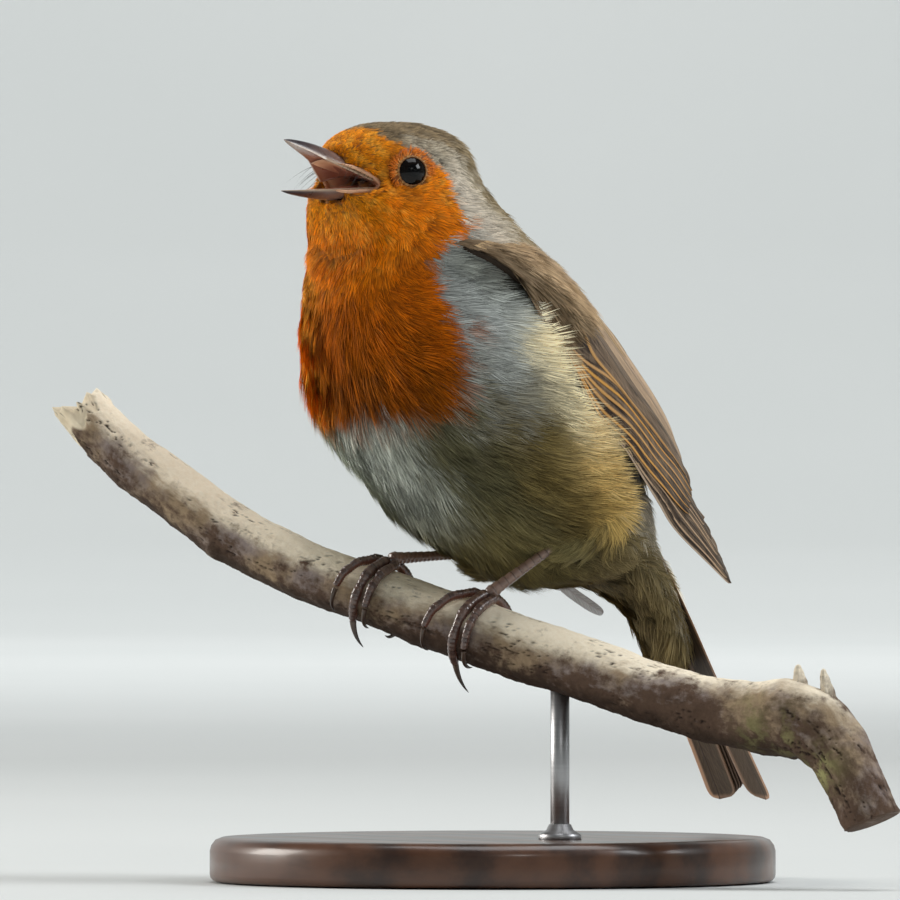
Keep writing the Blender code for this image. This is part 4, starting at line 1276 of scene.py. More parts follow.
def lidFinish(name, inner, outer):
    look = Finish(name)
    bead = look.attribute("lidBead")
    grain = look.noise(1800.0, 2.0)
    share = look.plus(bead, look.about(grain, 0.5), clamp=True)
    # below a bead of 0 the colour darkens toward deep: the ring of skin under the lid feathers is painted
    # shade, and some feathers are randomly darker
    deep = tuple(c * 0.3 for c in inner)
    colour = look.mix(look.span(bead, -1.0, 0.0, 1.0, 0.0), look.mix(share, inner, outer), deep)
    look.give({"Base Color": colour, "Roughness": 0.6})
    return look.made


def makeEyes():
    glass = eyeFinish()
    lidSkin = lidFinish("lidSkin", linear(120, 70, 24), linear(234, 186, 112))
    radius = flesh["eyeRadius"]
    for name, side in (("eye_left", 1), ("eye_right", -1)):
        eye = eyeAxes(side)
        theta = np.linspace(0.02, math.pi - 0.02, 48)
        swell = radius + 0.22 * np.exp(-(theta / 0.42) ** 2)
        build = MeshBuilder()
        build.add(onGlobe(eye, theta[:, None], swell[:, None], roundAngles(64)), gazeOff=theta[:, None])
        handOver(build.build(name + "_ball", glass), "eye_gloss", name)
        lid = MeshBuilder()
        a = roundAngles(110)
        open_ = math.asin(flesh["eyeOpening"] / radius)
        wave = 0.5 + 0.5 * np.sin(a * 21.0 + 0.7 * np.sin(3 * a))
        rings, tones = [], []
        for k in range(10):
            b = 2 * math.pi * k / 10
            thick = 0.13 + 0.06 * wave
            reach = radius + 0.02 + thick * (0.4 + math.sin(b))
            turn = open_ + 0.012 + thick * math.cos(b) / radius
            rings.append(onGlobe(eye, turn, reach, a))
            tones.append((0.25 + 0.75 * wave) * (0.5 + 0.5 * math.cos(b)))
        lid.add(np.array(rings + rings[:1]), caps=False, lidBead=np.array(tones + tones[:1]))
        piece = lid.build(name + "_lid", lidSkin, tidy=False)
        with editing(piece.data) as bm:
            bmesh.ops.remove_doubles(bm, verts=bm.verts, dist=1e-7)
        outward(piece)
        handOver(piece, "orange_feather")
        makeLidFeathers(name, eye)


horn = billFinish()
billHalf("upper", True, horn)
billHalf("lower", False, horn)
makeMouth(mouthFinish())
makeBristles()
makeEyes()
print("the head's own pieces are in place")


# vanes: stiff feathers of the wings and the tail

vaneKinds = {
    # where its tip begins, its curl, rows of points, how sharp the tip is, its root's and its fringe's width
    "outerPrimary": (0.93, 0.04, 44, 2.8, 0.6, 0.42),
    "primary": (0.9, 0.04, 44, 2.8, 0.6, 0.3),
    "secondary": (0.68, 0.03, 40, 1.6, 0.7, 0.4),
    "longTertial": (0.66, 0.16, 40, 1.6, 0.6, 0.36),
    "tertial": (0.6, 0.16, 40, 1.6, 0.6, 0.36),
    "greaterCovert": (0.66, 0.14, 24, 2.0, 0.6, 0.3),
    "primaryCovert": (0.7, 0.1, 22, 2.0, 0.6, 0.24),
    "medianCovert": (0.55, 0.14, 18, 2.0, 0.55, 0.26),
    "tail": (0.9, 0.1, 44, 2.6, 0.5, 0.3),
    "outerTail": (0.9, 0.1, 44, 2.6, 0.5, 0.9),
    "vent": (0.7, 0.15, 26, 2.0, 0.6, 0.3),
}


def addVane(build, ground, kind, route, webs, high, tone, light, fringe):
    # A closed thin blade along a route on a ground; its webs' widths and its height are in millimetres.
    tipFrom, curl, rows, sharp, root, fringeWide = vaneKinds[kind]
    outer, inner = webs
    f = np.linspace(0, 1, rows) ** 0.9
    path = spline(route, f * (len(route) - 1))
    middle = ground(path, np.zeros((rows, 1)), np.zeros((rows, 1)))[:, 0]
    reach = reachAlong(middle)
    shape = root + (1 - root) * ease(f, 0.0, 0.3)
    late = np.clip((f - tipFrom) / (1 - tipFrom), 0, 1)
    shape = shape * np.maximum(1 - late ** sharp, 0.0) ** 0.6 + 0.012
    a = np.array([-1, -0.93, -0.8, -0.6, -0.3, -0.06, 0.06, 0.25, 0.5, 0.75, 0.92, 1.0])
    web = np.where(a < 0, outer, inner)
    across = a * web * shape[:, None]
    rise = high + curl * (1 - a ** 2) * shape[:, None] + np.where(np.abs(a) < 0.1, 0.05, 0.0)
    top = ground(path, across, rise)
    under = ground(path, across, rise - 0.07 - 0.05 * (np.abs(a) < 0.1))
    edge = np.minimum((1 - np.abs(a)) * web * shape[:, None], ((reach[-1] - reach) * 0.9)[:, None])
    edge = edge + (0.3 * late ** 2)[:, None]
    onOuter = ease(-a, -0.1, 0.1)

    def both(values):
        values = np.broadcast_to(values, across.shape)
        return np.concatenate([values, values[:, ::-1]], axis=1)

    build.add(np.concatenate([top, under[:, ::-1]], axis=1), vaneAlong=both(reach[:, None]),
              vaneAcross=both(across), vaneEdge=both(edge), vaneOuter=both(onOuter), vaneTone=tone,
              vaneLight=light, vaneFringe=fringe, vaneFringeWide=fringeWide)


def vaneShade():
    # Shader group: body, shaft, barbs and fringe of a stiff feather.
    colours = dict.fromkeys(("dark", "light", "fringe", "dull", "shaft"), "Color")
    look, given, out = nodeGroup("vaneShade", "ShaderNodeTree", colours,
                                 {"Colour": "Color", "Height": "Float"})
    along, across, edge, outer, tone, light, fringe, wide = (look.attribute("vane" + n) for n in (
        "Along", "Across", "Edge", "Outer", "Tone", "Light", "Fringe", "FringeWide"))
    off = look.add("ShaderNodeMath", {0: across}, operation="ABSOLUTE")
    slant = look.minus(along, look.times(off, 1.5))
    where = look.vector(slant, look.times(tone, 40.0), look.times(off, 0.12))
    barbs = look.noise(7.0, 2.0, where)
    broad = look.noise(0.9, 2.0, where)
    lengthwise = look.noise(3.4, 3.0, look.vector(across, look.times(along, 0.06), look.times(tone, 9.0)))
    share = look.plus(look.plus(light, look.about(tone, 0.2)), look.about(lengthwise, 0.9))
    share = look.plus(share, look.about(broad, 0.3), clamp=True)
    colour = look.mix(share, given["dark"], given["light"])
    colour = look.mix(1.0, colour, look.grey(look.span(barbs, 0.3, 0.75, 0.68, 1.12)), "MULTIPLY")
    hem = look.plus(edge, look.about(barbs, 0.22))
    hem = look.add("ShaderNodeMath", {0: hem, 1: wide}, operation="DIVIDE")
    onHem = look.times(look.span(hem, 1.15, 0.55), look.plus(0.35, look.times(outer, 0.65)))
    colour = look.mix(onHem, colour, look.mix(fringe, given["dull"], given["fringe"]))
    onShaft = look.span(off, 0.2, 0.1)
    look.feed(out["Colour"], look.mix(look.times(onShaft, 0.8), colour, given["shaft"]))
    look.feed(out["Height"], look.plus(barbs, onShaft))
    return look.tree


def vaneFinish(name, shade, **colours):
    look = Finish(name)
    colour = look.add("ShaderNodeGroup", colours, "Colour", node_tree=shade)
    look.give({"Base Color": colour, "Roughness": 0.52, "Specular IOR Level": 0.25})
    look.bump(colour.node.outputs["Height"], 0.5, 0.00009)
    return look.made


# the wings

wing = {
    # lower and upper edge of the folded left wing at seven stations from shoulder to tip
    "lower": [(15.5, -8.7, 33.0), (19.5, -3.5, 30.3), (21.5, 7.1, 22.2), (23.1, 12.8, 13.7),
              (23.2, 19.6, 0.9), (18.2, 30.2, -10.5), (14.3, 44.1, -21.2)],
    "upper": [(11.0, 4.6, 34.6), (8.6, 10.5, 32.0), (7.0, 17.2, 26.6), (6.5, 26.2, 16.2),
              (8.0, 33.4, 5.5), (10.0, 38.2, -6.0), (13.5, 44.6, -21.0)],
    # how far the wing swells from its chord at stations, millimetres
    "swellStations": (0.0, 0.15, 0.33, 0.5, 0.62, 0.75, 0.85, 1.0),
    "swell": (0.0, 0.15, 0.35, 0.85, 1.45, 1.7, 1.5, 1.2), "thick": 0.9,
    # outer edges of the flight feathers where the wing's stations are 0.45, 0.55, 0.65, 0.72 and 0.8
    "stations": (0.45, 0.55, 0.65, 0.72, 0.80),
    "secondaries": [(-0.16, -0.12, -0.05, 0.01, 0.12), (-0.15, -0.10, 0.0, 0.08, 0.24),
                    (-0.14, -0.07, 0.06, 0.16, 0.37), (-0.13, -0.04, 0.12, 0.25, 0.51),
                    (-0.12, 0.0, 0.19, 0.34, 0.65), (-0.10, 0.05, 0.26, 0.44, 0.80)],
    # primaries: outer edge at stations 0.6, 0.72, 0.8, 0.88, then station and share of the tip
    "primaries": [((-0.12, -0.06, -0.04, -0.12), (1.0, 0.2)), ((-0.1, -0.03, 0.03, 0.02), (0.985, 0.4)),
                  ((-0.08, 0.01, 0.12, 0.22), (0.965, 0.6)), ((-0.04, 0.06, 0.22, 0.48), (0.94, 0.8)),
                  ((-0.02, 0.1, 0.3, 0.6), (0.915, 0.85)), ((0.0, 0.14, 0.38, 0.7), (0.89, 0.9))],
    # the three innermost, broad and soft brown: route, outer and inner web, lightness
    "tertials": [([(0.34, 0.2), (0.45, 0.16), (0.55, 0.22), (0.65, 0.43), (0.73, 0.64), (0.81, 0.93)],
                  (3.5, 4.2), 0.12),
                 ([(0.32, 0.5), (0.45, 0.46), (0.55, 0.5), (0.64, 0.62), (0.71, 0.76), (0.775, 0.92)],
                  (3.0, 3.8), 0.62),
                 ([(0.3, 0.76), (0.42, 0.75), (0.52, 0.78), (0.6, 0.82), (0.68, 0.88), (0.73, 0.94)],
                  (3.0, 3.2), 0.85)],
}


def wingGround(path, across, high, side=1):
    # Places on the folded wing: path holds station and share, across is in millimetres toward the back.
    lower, upper = wing["lower"], wing["upper"]
    last = len(lower) - 1
    s, share = np.clip(path[:, 0], 0.0, 1.0), path[:, 1]
    low, top = spline(lower, s * last), spline(upper, s * last)
    step = np.where(s < 0.97, 0.02, -0.02)
    run = spline(lower, (s + step) * last) + spline(upper, (s + step) * last) - low - top
    run = run * np.sign(step)[:, None]
    span = top - low
    out = unit(np.cross(span, run))
    out = np.where(out[:, :1] < 0, -out, out)
    v = share[:, None] + across / np.linalg.norm(span, axis=1)[:, None]
    fade = 1 - ease(s, 0.62, 1.0)
    thick = wing["thick"] * (0.36 + 0.64 * fade)
    arch = np.clip(4 * v * (1 - v), -0.35, 1)
    edge = np.clip(arch * 2.5, -0.3, 1.0)
    ahead = (1 - ease(s, 0.02, 0.24))[:, None] * ease(v, 0.02, 0.35)
    swell = np.interp(s, wing["swellStations"], wing["swell"])
    rise = swell[:, None] * arch * fade[:, None] + thick[:, None] * 0.5 * edge + 0.12 + high - 1.3 * ahead
    tucked = ease(s, 0.2, 0.32) * ease(0.68 - s, 0.0, 0.1)  # the lower edge lies in the flank's feathers
    rise = rise - 2.6 * tucked[:, None] * ease(0.08 - v, 0.0, 0.22)
    rise = rise - 2.0 * ease(0.5 - s, 0.0, 0.2)[:, None] * ease(v, 0.6, 1.0)
    points = low[:, None] + span[:, None] * v[..., None] + out[:, None] * rise[..., None]
    return points * [side, 1, 1]


def widthAt(s):
    # From edge to edge of the wing at a station, in millimetres.
    t = s * (len(wing["lower"]) - 1.0)
    return float(np.linalg.norm(spline(wing["upper"], t) - spline(wing["lower"], t)))


def makeWing(side, finishes):
    wingName = "wing_left" if side > 0 else "wing_right"
    draw = random.Random(31)

    def ground(path, across, high):
        return wingGround(path, across, high, side)

    bed = MeshBuilder()
    s = np.linspace(0.0, 0.84, 40)
    rings = []
    for station in s:
        # at mid stations the bed reaches below the wing's lower edge: painted shade between flank and wing
        v = np.linspace(0.02 - 0.12 * ease(station, 0.24, 0.4) * ease(0.8 - station, 0, 0.2), 0.98, 12)
        path = np.array([[station, 0.0]])
        fade = 1 - ease(station, 0.5, 0.84)
        shut = math.sqrt(max(1 - (1 - min(station / 0.06, 1.0)) ** 2, 0.02))
        shares = 0.5 + (v - 0.5) * shut
        top = ground(path, shares[None] * widthAt(station), np.full((1, 12), -0.3))[0]
        drop = -0.6 - (1.1 + 1.6 * fade) * np.maximum(4 * v * (1 - v), 0.0) ** 0.4 * shut
        under = ground(path, shares[None] * widthAt(station), drop[None])[0]
        rings.append(np.concatenate([top, under[::-1]]))
    bed.add(np.array(rings))
    handOver(bed.build(wingName + "_bed", finishes["bed"]), "flight_feather")

    flight = MeshBuilder()
    for k, (edges, tip) in enumerate(wing["primaries"]):
        outer, inner = 1.0, 3.4 - 0.1 * k
        route = [(st, e + outer / widthAt(st)) for st, e in zip((0.6, 0.72, 0.8, 0.88), edges)]
        route = [(0.5, route[0][1])] + route + [tip]
        addVane(flight, ground, "primary" if k else "outerPrimary", route, (outer, inner),
                high=-0.4 + 0.09 * k, tone=draw.random(), light=0.16 + 0.05 * (k % 2),
                fringe=0.26 if k else 0.1)
    for k, edges in enumerate(wing["secondaries"]):
        outer, inner = 1.9, 4.2
        route = [(st, e + outer / widthAt(st)) for st, e in zip(wing["stations"], edges)]
        route = [(0.36, route[0][1])] + route
        end = route[-1][1]
        route.append((0.855 - 0.004 * k, end + 0.12))
        addVane(flight, ground, "secondary", route, (outer, inner), high=0.1 + 0.1 * k, tone=draw.random(),
                light=0.12 + 0.08 * (k % 2), fringe=0.7 + 0.3 * draw.random())
    for k, (route, webs, light) in enumerate(wing["tertials"]):
        addVane(flight, ground, "tertial" if k else "longTertial", route, webs, high=0.7 + 0.1 * k,
                tone=draw.random(), light=light, fringe=0.2 if k else 0.75)
    handOver(flight.build(wingName + "_quills", finishes["flight"]), "flight_feather", wingName + "_flight")

    coverts = MeshBuilder()
    for k in range(10):  # greater coverts, over the roots of the flight feathers
        v0 = -0.12 + 0.103 * k
        start, end = 0.27 + 0.004 * k, 0.50 + 0.016 * math.sin(k * 1.3) + 0.004 * k
        route = [(start, v0 + 0.02), (start + 0.1, v0 + 0.03), (end - 0.05, v0 + 0.05), (end, v0 + 0.07)]
        addVane(coverts, ground, "greaterCovert", route, (1.5, 2.4), high=0.42 + 0.06 * k,
                tone=draw.random(), light=0.62 + 0.16 * (k % 2), fringe=0.25)
    for k in range(7):  # primary coverts, low on the wing
        v0 = -0.19 + 0.035 * k
        route = [(0.36, v0), (0.44, v0 + 0.01), (0.52, v0 + 0.03), (0.575 + 0.006 * k, v0 + 0.05)]
        addVane(coverts, ground, "primaryCovert", route, (0.9, 1.6), high=-0.1 + 0.02 * k,
                tone=draw.random(), light=0.3, fringe=0.5)
    for row, (start, end, count, high) in enumerate(((0.19, 0.37, 11, 0.58), (0.1, 0.27, 11, 0.68))):
        for k in range(count):  # median coverts, two rows of short round ones
            v0 = -0.08 + 0.096 * k + 0.03 * row
            route = [(start, v0), (start + 0.06, v0 + 0.01), (end - 0.04, v0 + 0.03),
                     (end + 0.012 * math.sin(2.1 * k), v0 + 0.05)]
            addVane(coverts, ground, "medianCovert", route, (1.5, 2.0), high=high + 0.045 * k,
                    tone=draw.random(), light=0.7 + 0.14 * ((k + row) % 2), fringe=0.35 if k > 1 else 0.0)
    handOver(coverts.build(wingName + "_rows", finishes["coverts"]), "wing_feather", wingName + "_coverts")


def shoulderPlot(side):
    # A sheet over the front of the wing that its small soft feathers grow from.
    s = np.linspace(0.03, 0.36, 46)
    v = np.linspace(-0.14, 1.02, 40)
    width = np.array([widthAt(st) for st in s])
    points = wingGround(np.stack([s, np.zeros(len(s))], axis=1), v[None] * width[:, None],
                        (0.1 + 0.4 * ease(s, 0.05, 0.2))[:, None] + 0 * v[None], side)
    build = MeshBuilder()
    build.add(points, closedRing=False)
    sheet = build.build("shoulderPlot" + str(side), None, tidy=False)
    ahead = unit(np.gradient(points, axis=0)).reshape(-1, 3)
    up = unit(np.gradient(points, axis=1)).reshape(-1, 3)
    mesh = sheet.data
    normal = vertexNormals(mesh)
    if (normal[:, 0] * side).mean() < 0:
        mesh.flip_normals()
        normal = vertexNormals(mesh)
    flat = points.reshape(-1, 3)
    stations = np.repeat(s, len(v))
    shares = np.tile(v, len(s))
    speckle = ripple(flat, 3.0, 17)
    streaks = ripple(np.stack([shares * 14, stations * 8, stations * 0], axis=1), 1.4, 23)
    pale, dark = np.array(linear(196, 168, 132)), np.array(linear(134, 108, 76))
    share = np.clip(0.5 + 0.4 * streaks + 0.25 * speckle, 0, 1)[:, None]
    colour = dark + (pale - dark) * share
    # painted shade: the colour darkens toward the lower edge, under the overhanging neck feathers
    colour = colour * (0.45 + 0.55 * ease(shares + 0.05 * speckle, 0.0, 0.22))[:, None]
    rim = ease(shares, 0.5, 0.8)[:, None]
    colour = colour + (np.array(linear(186, 164, 142)) - colour) * rim * 0.6
    lie = unit(ahead + 0.12 * speckle[:, None] * up)
    whole = np.ones(len(flat))
    writeLie(mesh, colour, lie, 3.2 + 2.6 * ease(stations, 0.02, 0.3), 4.0 * whole, whole, bodyPlace(flat))
    return sheet


def makeWings():
    shade = vaneShade()
    # the bed is dark brown, partly painted shade under and between the wing's feathers
    bed = Finish("wingBed")
    bed.give({"Base Color": bed.mix(bed.noise(500.0), (44, 34, 25), (72, 57, 42)),
              "Roughness": 0.85})
    finishes = {
        "bed": bed.made,
        "flight": vaneFinish("flightVane", shade, dark=(46, 32, 22), light=(220, 186, 150),
                             fringe=(214, 156, 78), dull=(176, 158, 140), shaft=(40, 28, 22)),
        "coverts": vaneFinish("covertVane", shade, dark=(84, 62, 38), light=(192, 160, 114),
                              fringe=(206, 172, 116), dull=(166, 144, 112), shaft=(70, 52, 38)),
    }
    soft = featherFinish("shoulderFeather", bpy.data.node_groups["barbShade"], 0.5, 0.6)
    tufts = tuftSet("shoulderTuft", 5, barbs=15, steps=3, barbWidth=0.04, spread=0.26, droop=0.1)
    tree = coatTree()
    for side in (1, -1):
        makeWing(side, finishes)
        sheet = shoulderPlot(side)
        sheet.name = "coat_shoulder_" + ("left" if side > 0 else "right")
        spacing = coat["shoulderSpacing"]
        runTree(sheet, tree, Tufts=tufts, Finish=soft, Spacing=spacing * mm,
                Crowding=coat["crowding"] / spacing ** 2, Seed=300 + side, **coat["shoulderSpreads"])
        finishTufts(sheet, 0.55)
        handOver(sheet, "wing_feather")
        print(sheet.name, sum(len(p.vertices) - 2 for p in sheet.data.polygons))
    clearTufts(tufts)
    bpy.data.node_groups.remove(tree)


# the tail

tail = {
    "root": (37.4, -20.4), "pitch": 63.0, "length": 40.0,
    "lobe": 6.1, "notch": 2.6,
}


def tailGround(path, across, high):
    # Places on the tail: path holds millimetres down it and millimetres to the side.
    slope = math.radians(tail["pitch"])
    down = np.array([0.0, math.cos(slope), -math.sin(slope)])
    face = np.array([0.0, math.sin(slope), math.cos(slope)])
    x = path[:, 1:2] + across
    crown = 0.9 * (1 - (x / 10.0) ** 2)
    root = np.array([0.0, *tail["root"]])
    return (root + down * path[:, 0][:, None, None] + np.array([1.0, 0, 0]) * x[..., None]
            + face * (crown + high)[..., None])


def makeTail():
    build = MeshBuilder()
    draw = random.Random(12)
    for k in range(6):
        for side in (1, -1):
            end = 1.2 + 1.12 * k
            drop = tail["notch"] * max(tail["lobe"] - end, 0) / tail["lobe"]
            long = tail["length"] - drop + 0.15 * draw.uniform(-1, 1)
            route = [(-4.0, side * (0.4 + 1.06 * k)), (long * 0.3, side * (0.7 + 0.98 * k)),
                     (long * 0.7, side * (1.0 + 1.0 * k)), (long, side * end)]
            high = 0.62 - 0.24 * k + (0.05 if side > 0 else 0.0)

            def sideways(path, across, rise, side=side):
                return tailGround(path, -across * side, rise)

            kind, fringe = ("outerTail", 0.7) if k == 5 else ("tail", 0.14)
            addVane(build, sideways, kind, route, (1.9 + 0.08 * k, 2.6 + 0.5 * k), high,
                    tone=draw.random(), light=0.36 + 0.1 * (k % 2), fringe=fringe)
    shade = bpy.data.node_groups["vaneShade"]
    finish = vaneFinish("tailVane", shade, dark=(62, 50, 40), light=(132, 112, 90), fringe=(204, 156, 114),
                        dull=(232, 204, 190), shaft=(70, 56, 46))
    handOver(build.build("tail_vanes", finish), "flight_feather", "tail")

    loose = MeshBuilder()
    line = np.array([(-0.6, 18.6, -18.6), (-0.5, 21.6, -21.6), (-0.3, 25.2, -24.0), (0.0, 28.9, -26.1)])

    def byLine(path, across, rise):
        middle = spline(line, path[:, 0])
        across3, up3 = unit([0.25, -0.55, -0.8]), unit([0.9, -0.35, 0.25])
        return middle[:, None] + across3 * across[..., None] + up3 * rise[..., None]

    route = [(0.0, 0), (1.0, 0), (2.0, 0), (3.0, 0)]
    addVane(loose, byLine, "vent", route, (1.0, 1.1), high=0.0, tone=0.5, light=0.9, fringe=0.0)
    white = vaneFinish("ventVane", shade, dark=(232, 228, 232), light=(250, 248, 250),
                       fringe=(236, 230, 236), dull=(232, 226, 232), shaft=(220, 212, 216))
    handOver(loose.build("vent_feather", white), "buff_feather")


makeWings()
makeTail()
print("wings and tail are laid")


# the perch

perch = {
    # centre line from the broken end to the cut end with its radius
    "line": [(-58.9, -33.3, 6.9), (-53.5, -30.5, 1.4), (-47.1, -27.3, -3.8), (-34.5, -20.8, -12.5),
             (-22.0, -14.5, -18.8), (-7.9, -7.3, -23.9), (6.1, -0.1, -28.5), (20.9, 7.4, -33.3),
             (33.9, 14.1, -37.6), (43.6, 19.0, -40.2), (50.9, 22.7, -41.7), (57.3, 26.0, -42.0),
             (61.5, 28.1, -42.9), (64.8, 29.9, -45.8), (67.2, 31.1, -49.3), (70.3, 32.6, -55.7),
             (71.2, 33.1, -58.0)],
    "radii": [4.41, 4.45, 4.50, 4.63, 4.77, 4.86, 4.94, 4.97, 5.06, 5.09, 5.23, 6.02, 5.91, 5.12, 4.72,
              4.67, 4.67],
    # two broken side shoots: foot, way, length, girth
    "stubs": [((59.6, 27.2, -39.6), (0.0, 0.0, 1.0), 6.6, 1.0),
              ((64.4, 29.8, -42.0), (-0.12, -0.06, 1.0), 8.6, 0.95)],
    "rings": 560, "sides": 120,
    "knot": (57.5, 24.0, -41.0), "lichen": [(61.0, 24.5, -43.5), (66.5, 27.5, -49.5), (56.0, 22.5, -42.5)],
    "bump": (-34.0, -24.0, -16.5),
}


def perchWays(t):
    # Centre, way along, forward and up, and radius of the perch at stations.
    line = perch["line"]
    inside = np.clip(t, 0.06, len(line) - 1.06)
    centre = spline(line, t)
    along = unit(spline(line, inside + 0.05) - spline(line, inside - 0.05))
    forward = unit(np.cross(along, [0.0, 0.0, 1.0]))
    return centre, along, forward, np.cross(forward, along), spline(perch["radii"], t)


def fieldNoise(points, scale, octaves):
    # Fractal noise at many places, from -1 to 1.
    return np.array([noise.fractal(Vector(point) / scale, 0.9, 2.0, octaves, noise_basis="PERLIN_ORIGINAL")
                     for point in points])


def barkFinish():
    look = Finish("perchBark")
    up, torn, crack, moss, along, around = (look.attribute(n) for n in (
        "barkUp", "barkTorn", "barkCrack", "barkMoss", "barkAlong", "barkAround"))
    cloud = look.noise(1.1, 5.0, look.vector(look.times(along, 0.22), around, 0.0), 0.6)
    fleck = look.noise(330.0, 6.0, None, 0.65)
    grit = look.noise(1400.0, 4.0, None, 0.7)
    pale = look.mix(grit, (232, 214, 184), (255, 246, 226))
    beige = look.mix(grit, (132, 112, 88), (168, 146, 118))
    brown = look.mix(grit, (70, 52, 42), (106, 84, 68))
    ashen = look.mix(grit, (120, 108, 104), (158, 144, 138))
    drift = look.noise(90.0, 4.0, None, 0.55)
    # the bark's top is drawn pale cream, partly bare wood and partly painted light from above; this fades
    # toward the cut end
    lit = look.plus(up, look.about(cloud, 1.1))
    lit = look.minus(lit, look.span(along, 95.0, 140.0, 0.0, 0.45))
    ground = look.mix(look.span(drift, 0.42, 0.6), beige, ashen)
    colour = look.mix(look.span(lit, 0.05, 0.65), ground, pale)
    patch = look.plus(look.about(fleck, 0.7),
                  look.plus(look.times(cloud, 0.5), look.times(drift, 0.5)))
    # fewer brown patches on top: more painted light there
    patch = look.minus(patch, look.times(up, 0.19))
    patch = look.plus(patch, look.span(along, 80.0, 140.0, 0.0, 0.13))
    colour = look.mix(look.span(patch, 0.43, 0.66), colour, brown)
    dark = look.mix(grit, (38, 28, 22), (66, 50, 38))
    # dark flecks, few on top and covering the underside: random flecks and painted shade underneath
    low = look.minus(look.about(fleck, 1.2), up)
    colour = look.mix(look.span(low, 0.25, 0.8, 0.0, 0.85), colour, dark)
    wood = look.mix(fleck, (206, 186, 152), (240, 230, 208))
    colour = look.mix(torn, colour, wood)
    lichen = look.mix(grit, (126, 122, 74), (178, 172, 120))
    spots = look.times(moss, look.span(fleck, 0.42, 0.6))
    colour = look.mix(spots, colour, lichen)
    colour = look.mix(crack, colour, (40, 28, 20))
    look.give({"Base Color": colour, "Roughness": 0.86, "Specular IOR Level": 0.25})
    height = look.plus(look.times(grit, 0.5), fleck)
    look.bump(height, 0.75, 0.00035)
    return look.made


def makePerch():
    last = len(perch["line"]) - 1.0
    count, sides = perch["rings"], perch["sides"]
    t = np.linspace(0.0, last, count)
    centre, along, forward, up, radius = perchWays(t)
    a = 2.0 * math.pi * np.arange(sides) / sides
    swell = (0.03 * np.sin(2 * a + 1.7 * t[:, None]) + 0.025 * np.sin(3 * a - 2.3 * t[:, None] + 1.0)
             + 0.02 * np.sin(5.1 * t[:, None] + a))
    way = forward[:, None] * np.cos(a)[:, None] + up[:, None] * np.sin(a)[:, None]
    rough = centre[:, None] + way * (radius[:, None] * (1 + swell))[..., None]

    def near(spot, wide):
        return np.exp(-(np.linalg.norm(rough - np.array(spot), axis=2) / wide) ** 2)

    flat = rough.reshape(-1, 3)
    reach = reachAlong(centre)
    knotty = fieldNoise(flat, 5.0, 3).reshape(count, sides)
    stretched = np.stack([np.repeat(reach, sides) * 0.16, np.tile(np.cos(a) * 5, count),
                          np.tile(np.sin(a) * 5, count)], 1)
    grooves = fieldNoise(stretched, 1.1, 4).reshape(count, sides)
    scaly = fieldNoise(flat + 40.0, 1.3, 3).reshape(count, sides)
    broken = ease(fieldNoise(stretched + 9.0, 2.3, 2), 0.0, 0.3).reshape(count, sides)
    crack = ease(0.075 - np.abs(grooves), 0.0, 0.07) * broken
    below = ease(-np.sin(a), 0.0, 0.8)[None]
    push = 0.16 * knotty + 0.1 * grooves + 0.08 * scaly * (0.5 + below) - 0.24 * crack
    push = push + 0.7 * near(perch["knot"], 3.6) + 0.8 * near(perch["bump"], 1.5)
    crease = np.abs((rough - np.array(perch["knot"])) @ unit([0.75, 0.4, 0.55]))
    push = push - 0.5 * np.exp(-(crease / 0.45) ** 2) * near(perch["knot"], 4.5)
    inset = 1 - ease(np.minimum(reach, reach[-1] - reach), 0.0, 0.5) * 0.92 - 0.08
    push = push - 0.12 * inset[:, None]
    points = rough + way * push[..., None]
    tear = 3.2 - 3.0 * np.sin(a - 0.3) + 1.3 * np.sin(3 * a) + 0.9 * np.sin(7 * a + 2.0)
    torn = ease(tear - reach[:, None], -0.4, 0.4)
    points = points - way * (torn * (0.2 + 0.1 * np.sin(9 * a)))[..., None]
    fray = 1.7 * np.sin(a) + 0.8 * np.sin(3 * a + 0.6) + 0.5 * np.sin(11 * a) + 0.3 * np.sin(23 * a + 1.0)
    points = points + along[:, None] * (fray * (1 - ease(reach, 0.0, 6.0))[:, None])[..., None]
    moss = np.zeros((count, sides))
    for spot in perch["lichen"]:
        moss = np.maximum(moss, near(spot, 3.2))
    upward = way[..., 2]
    build = MeshBuilder()
    build.add(points, barkUp=upward, barkTorn=torn, barkCrack=crack, barkMoss=np.clip(moss * 1.3, 0, 1),
              barkAlong=reach[:, None], barkAround=3.0 * np.sin(a)[None])
    for foot, stubWay, long, thick in perch["stubs"]:
        f = np.linspace(0, 1, 30)
        line = np.array(foot) + unit(stubWay) * (0.92 * long * f)[:, None]
        line = line + 0.3 * np.sin(f * 5)[:, None] * [1, 0, 0]
        girth = thick * np.interp(f, [0, 0.15, 0.45, 0.8, 0.97, 1], [2.8, 2.0, 1.1, 0.7, 0.34, 0.1])
        girth = girth[:, None] * (1 + 0.24 * np.sin(np.arange(20) * 2.2 + f[:, None] * 9))
        # the shoots' painted light rises along them, so they grow paler toward their tips
        build.add(tubeRows(line, girth, 20, up=(0, 1, 0)), barkUp=(0.5 * f + 0.1)[:, None], barkTorn=0.0,
                  barkCrack=0.0, barkMoss=0.0, barkAlong=(30 + 8 * f)[:, None], barkAround=0.4)
    handOver(build.build("perch_wood", barkFinish()), "perch_bark", "perch")


# legs, toes and claws

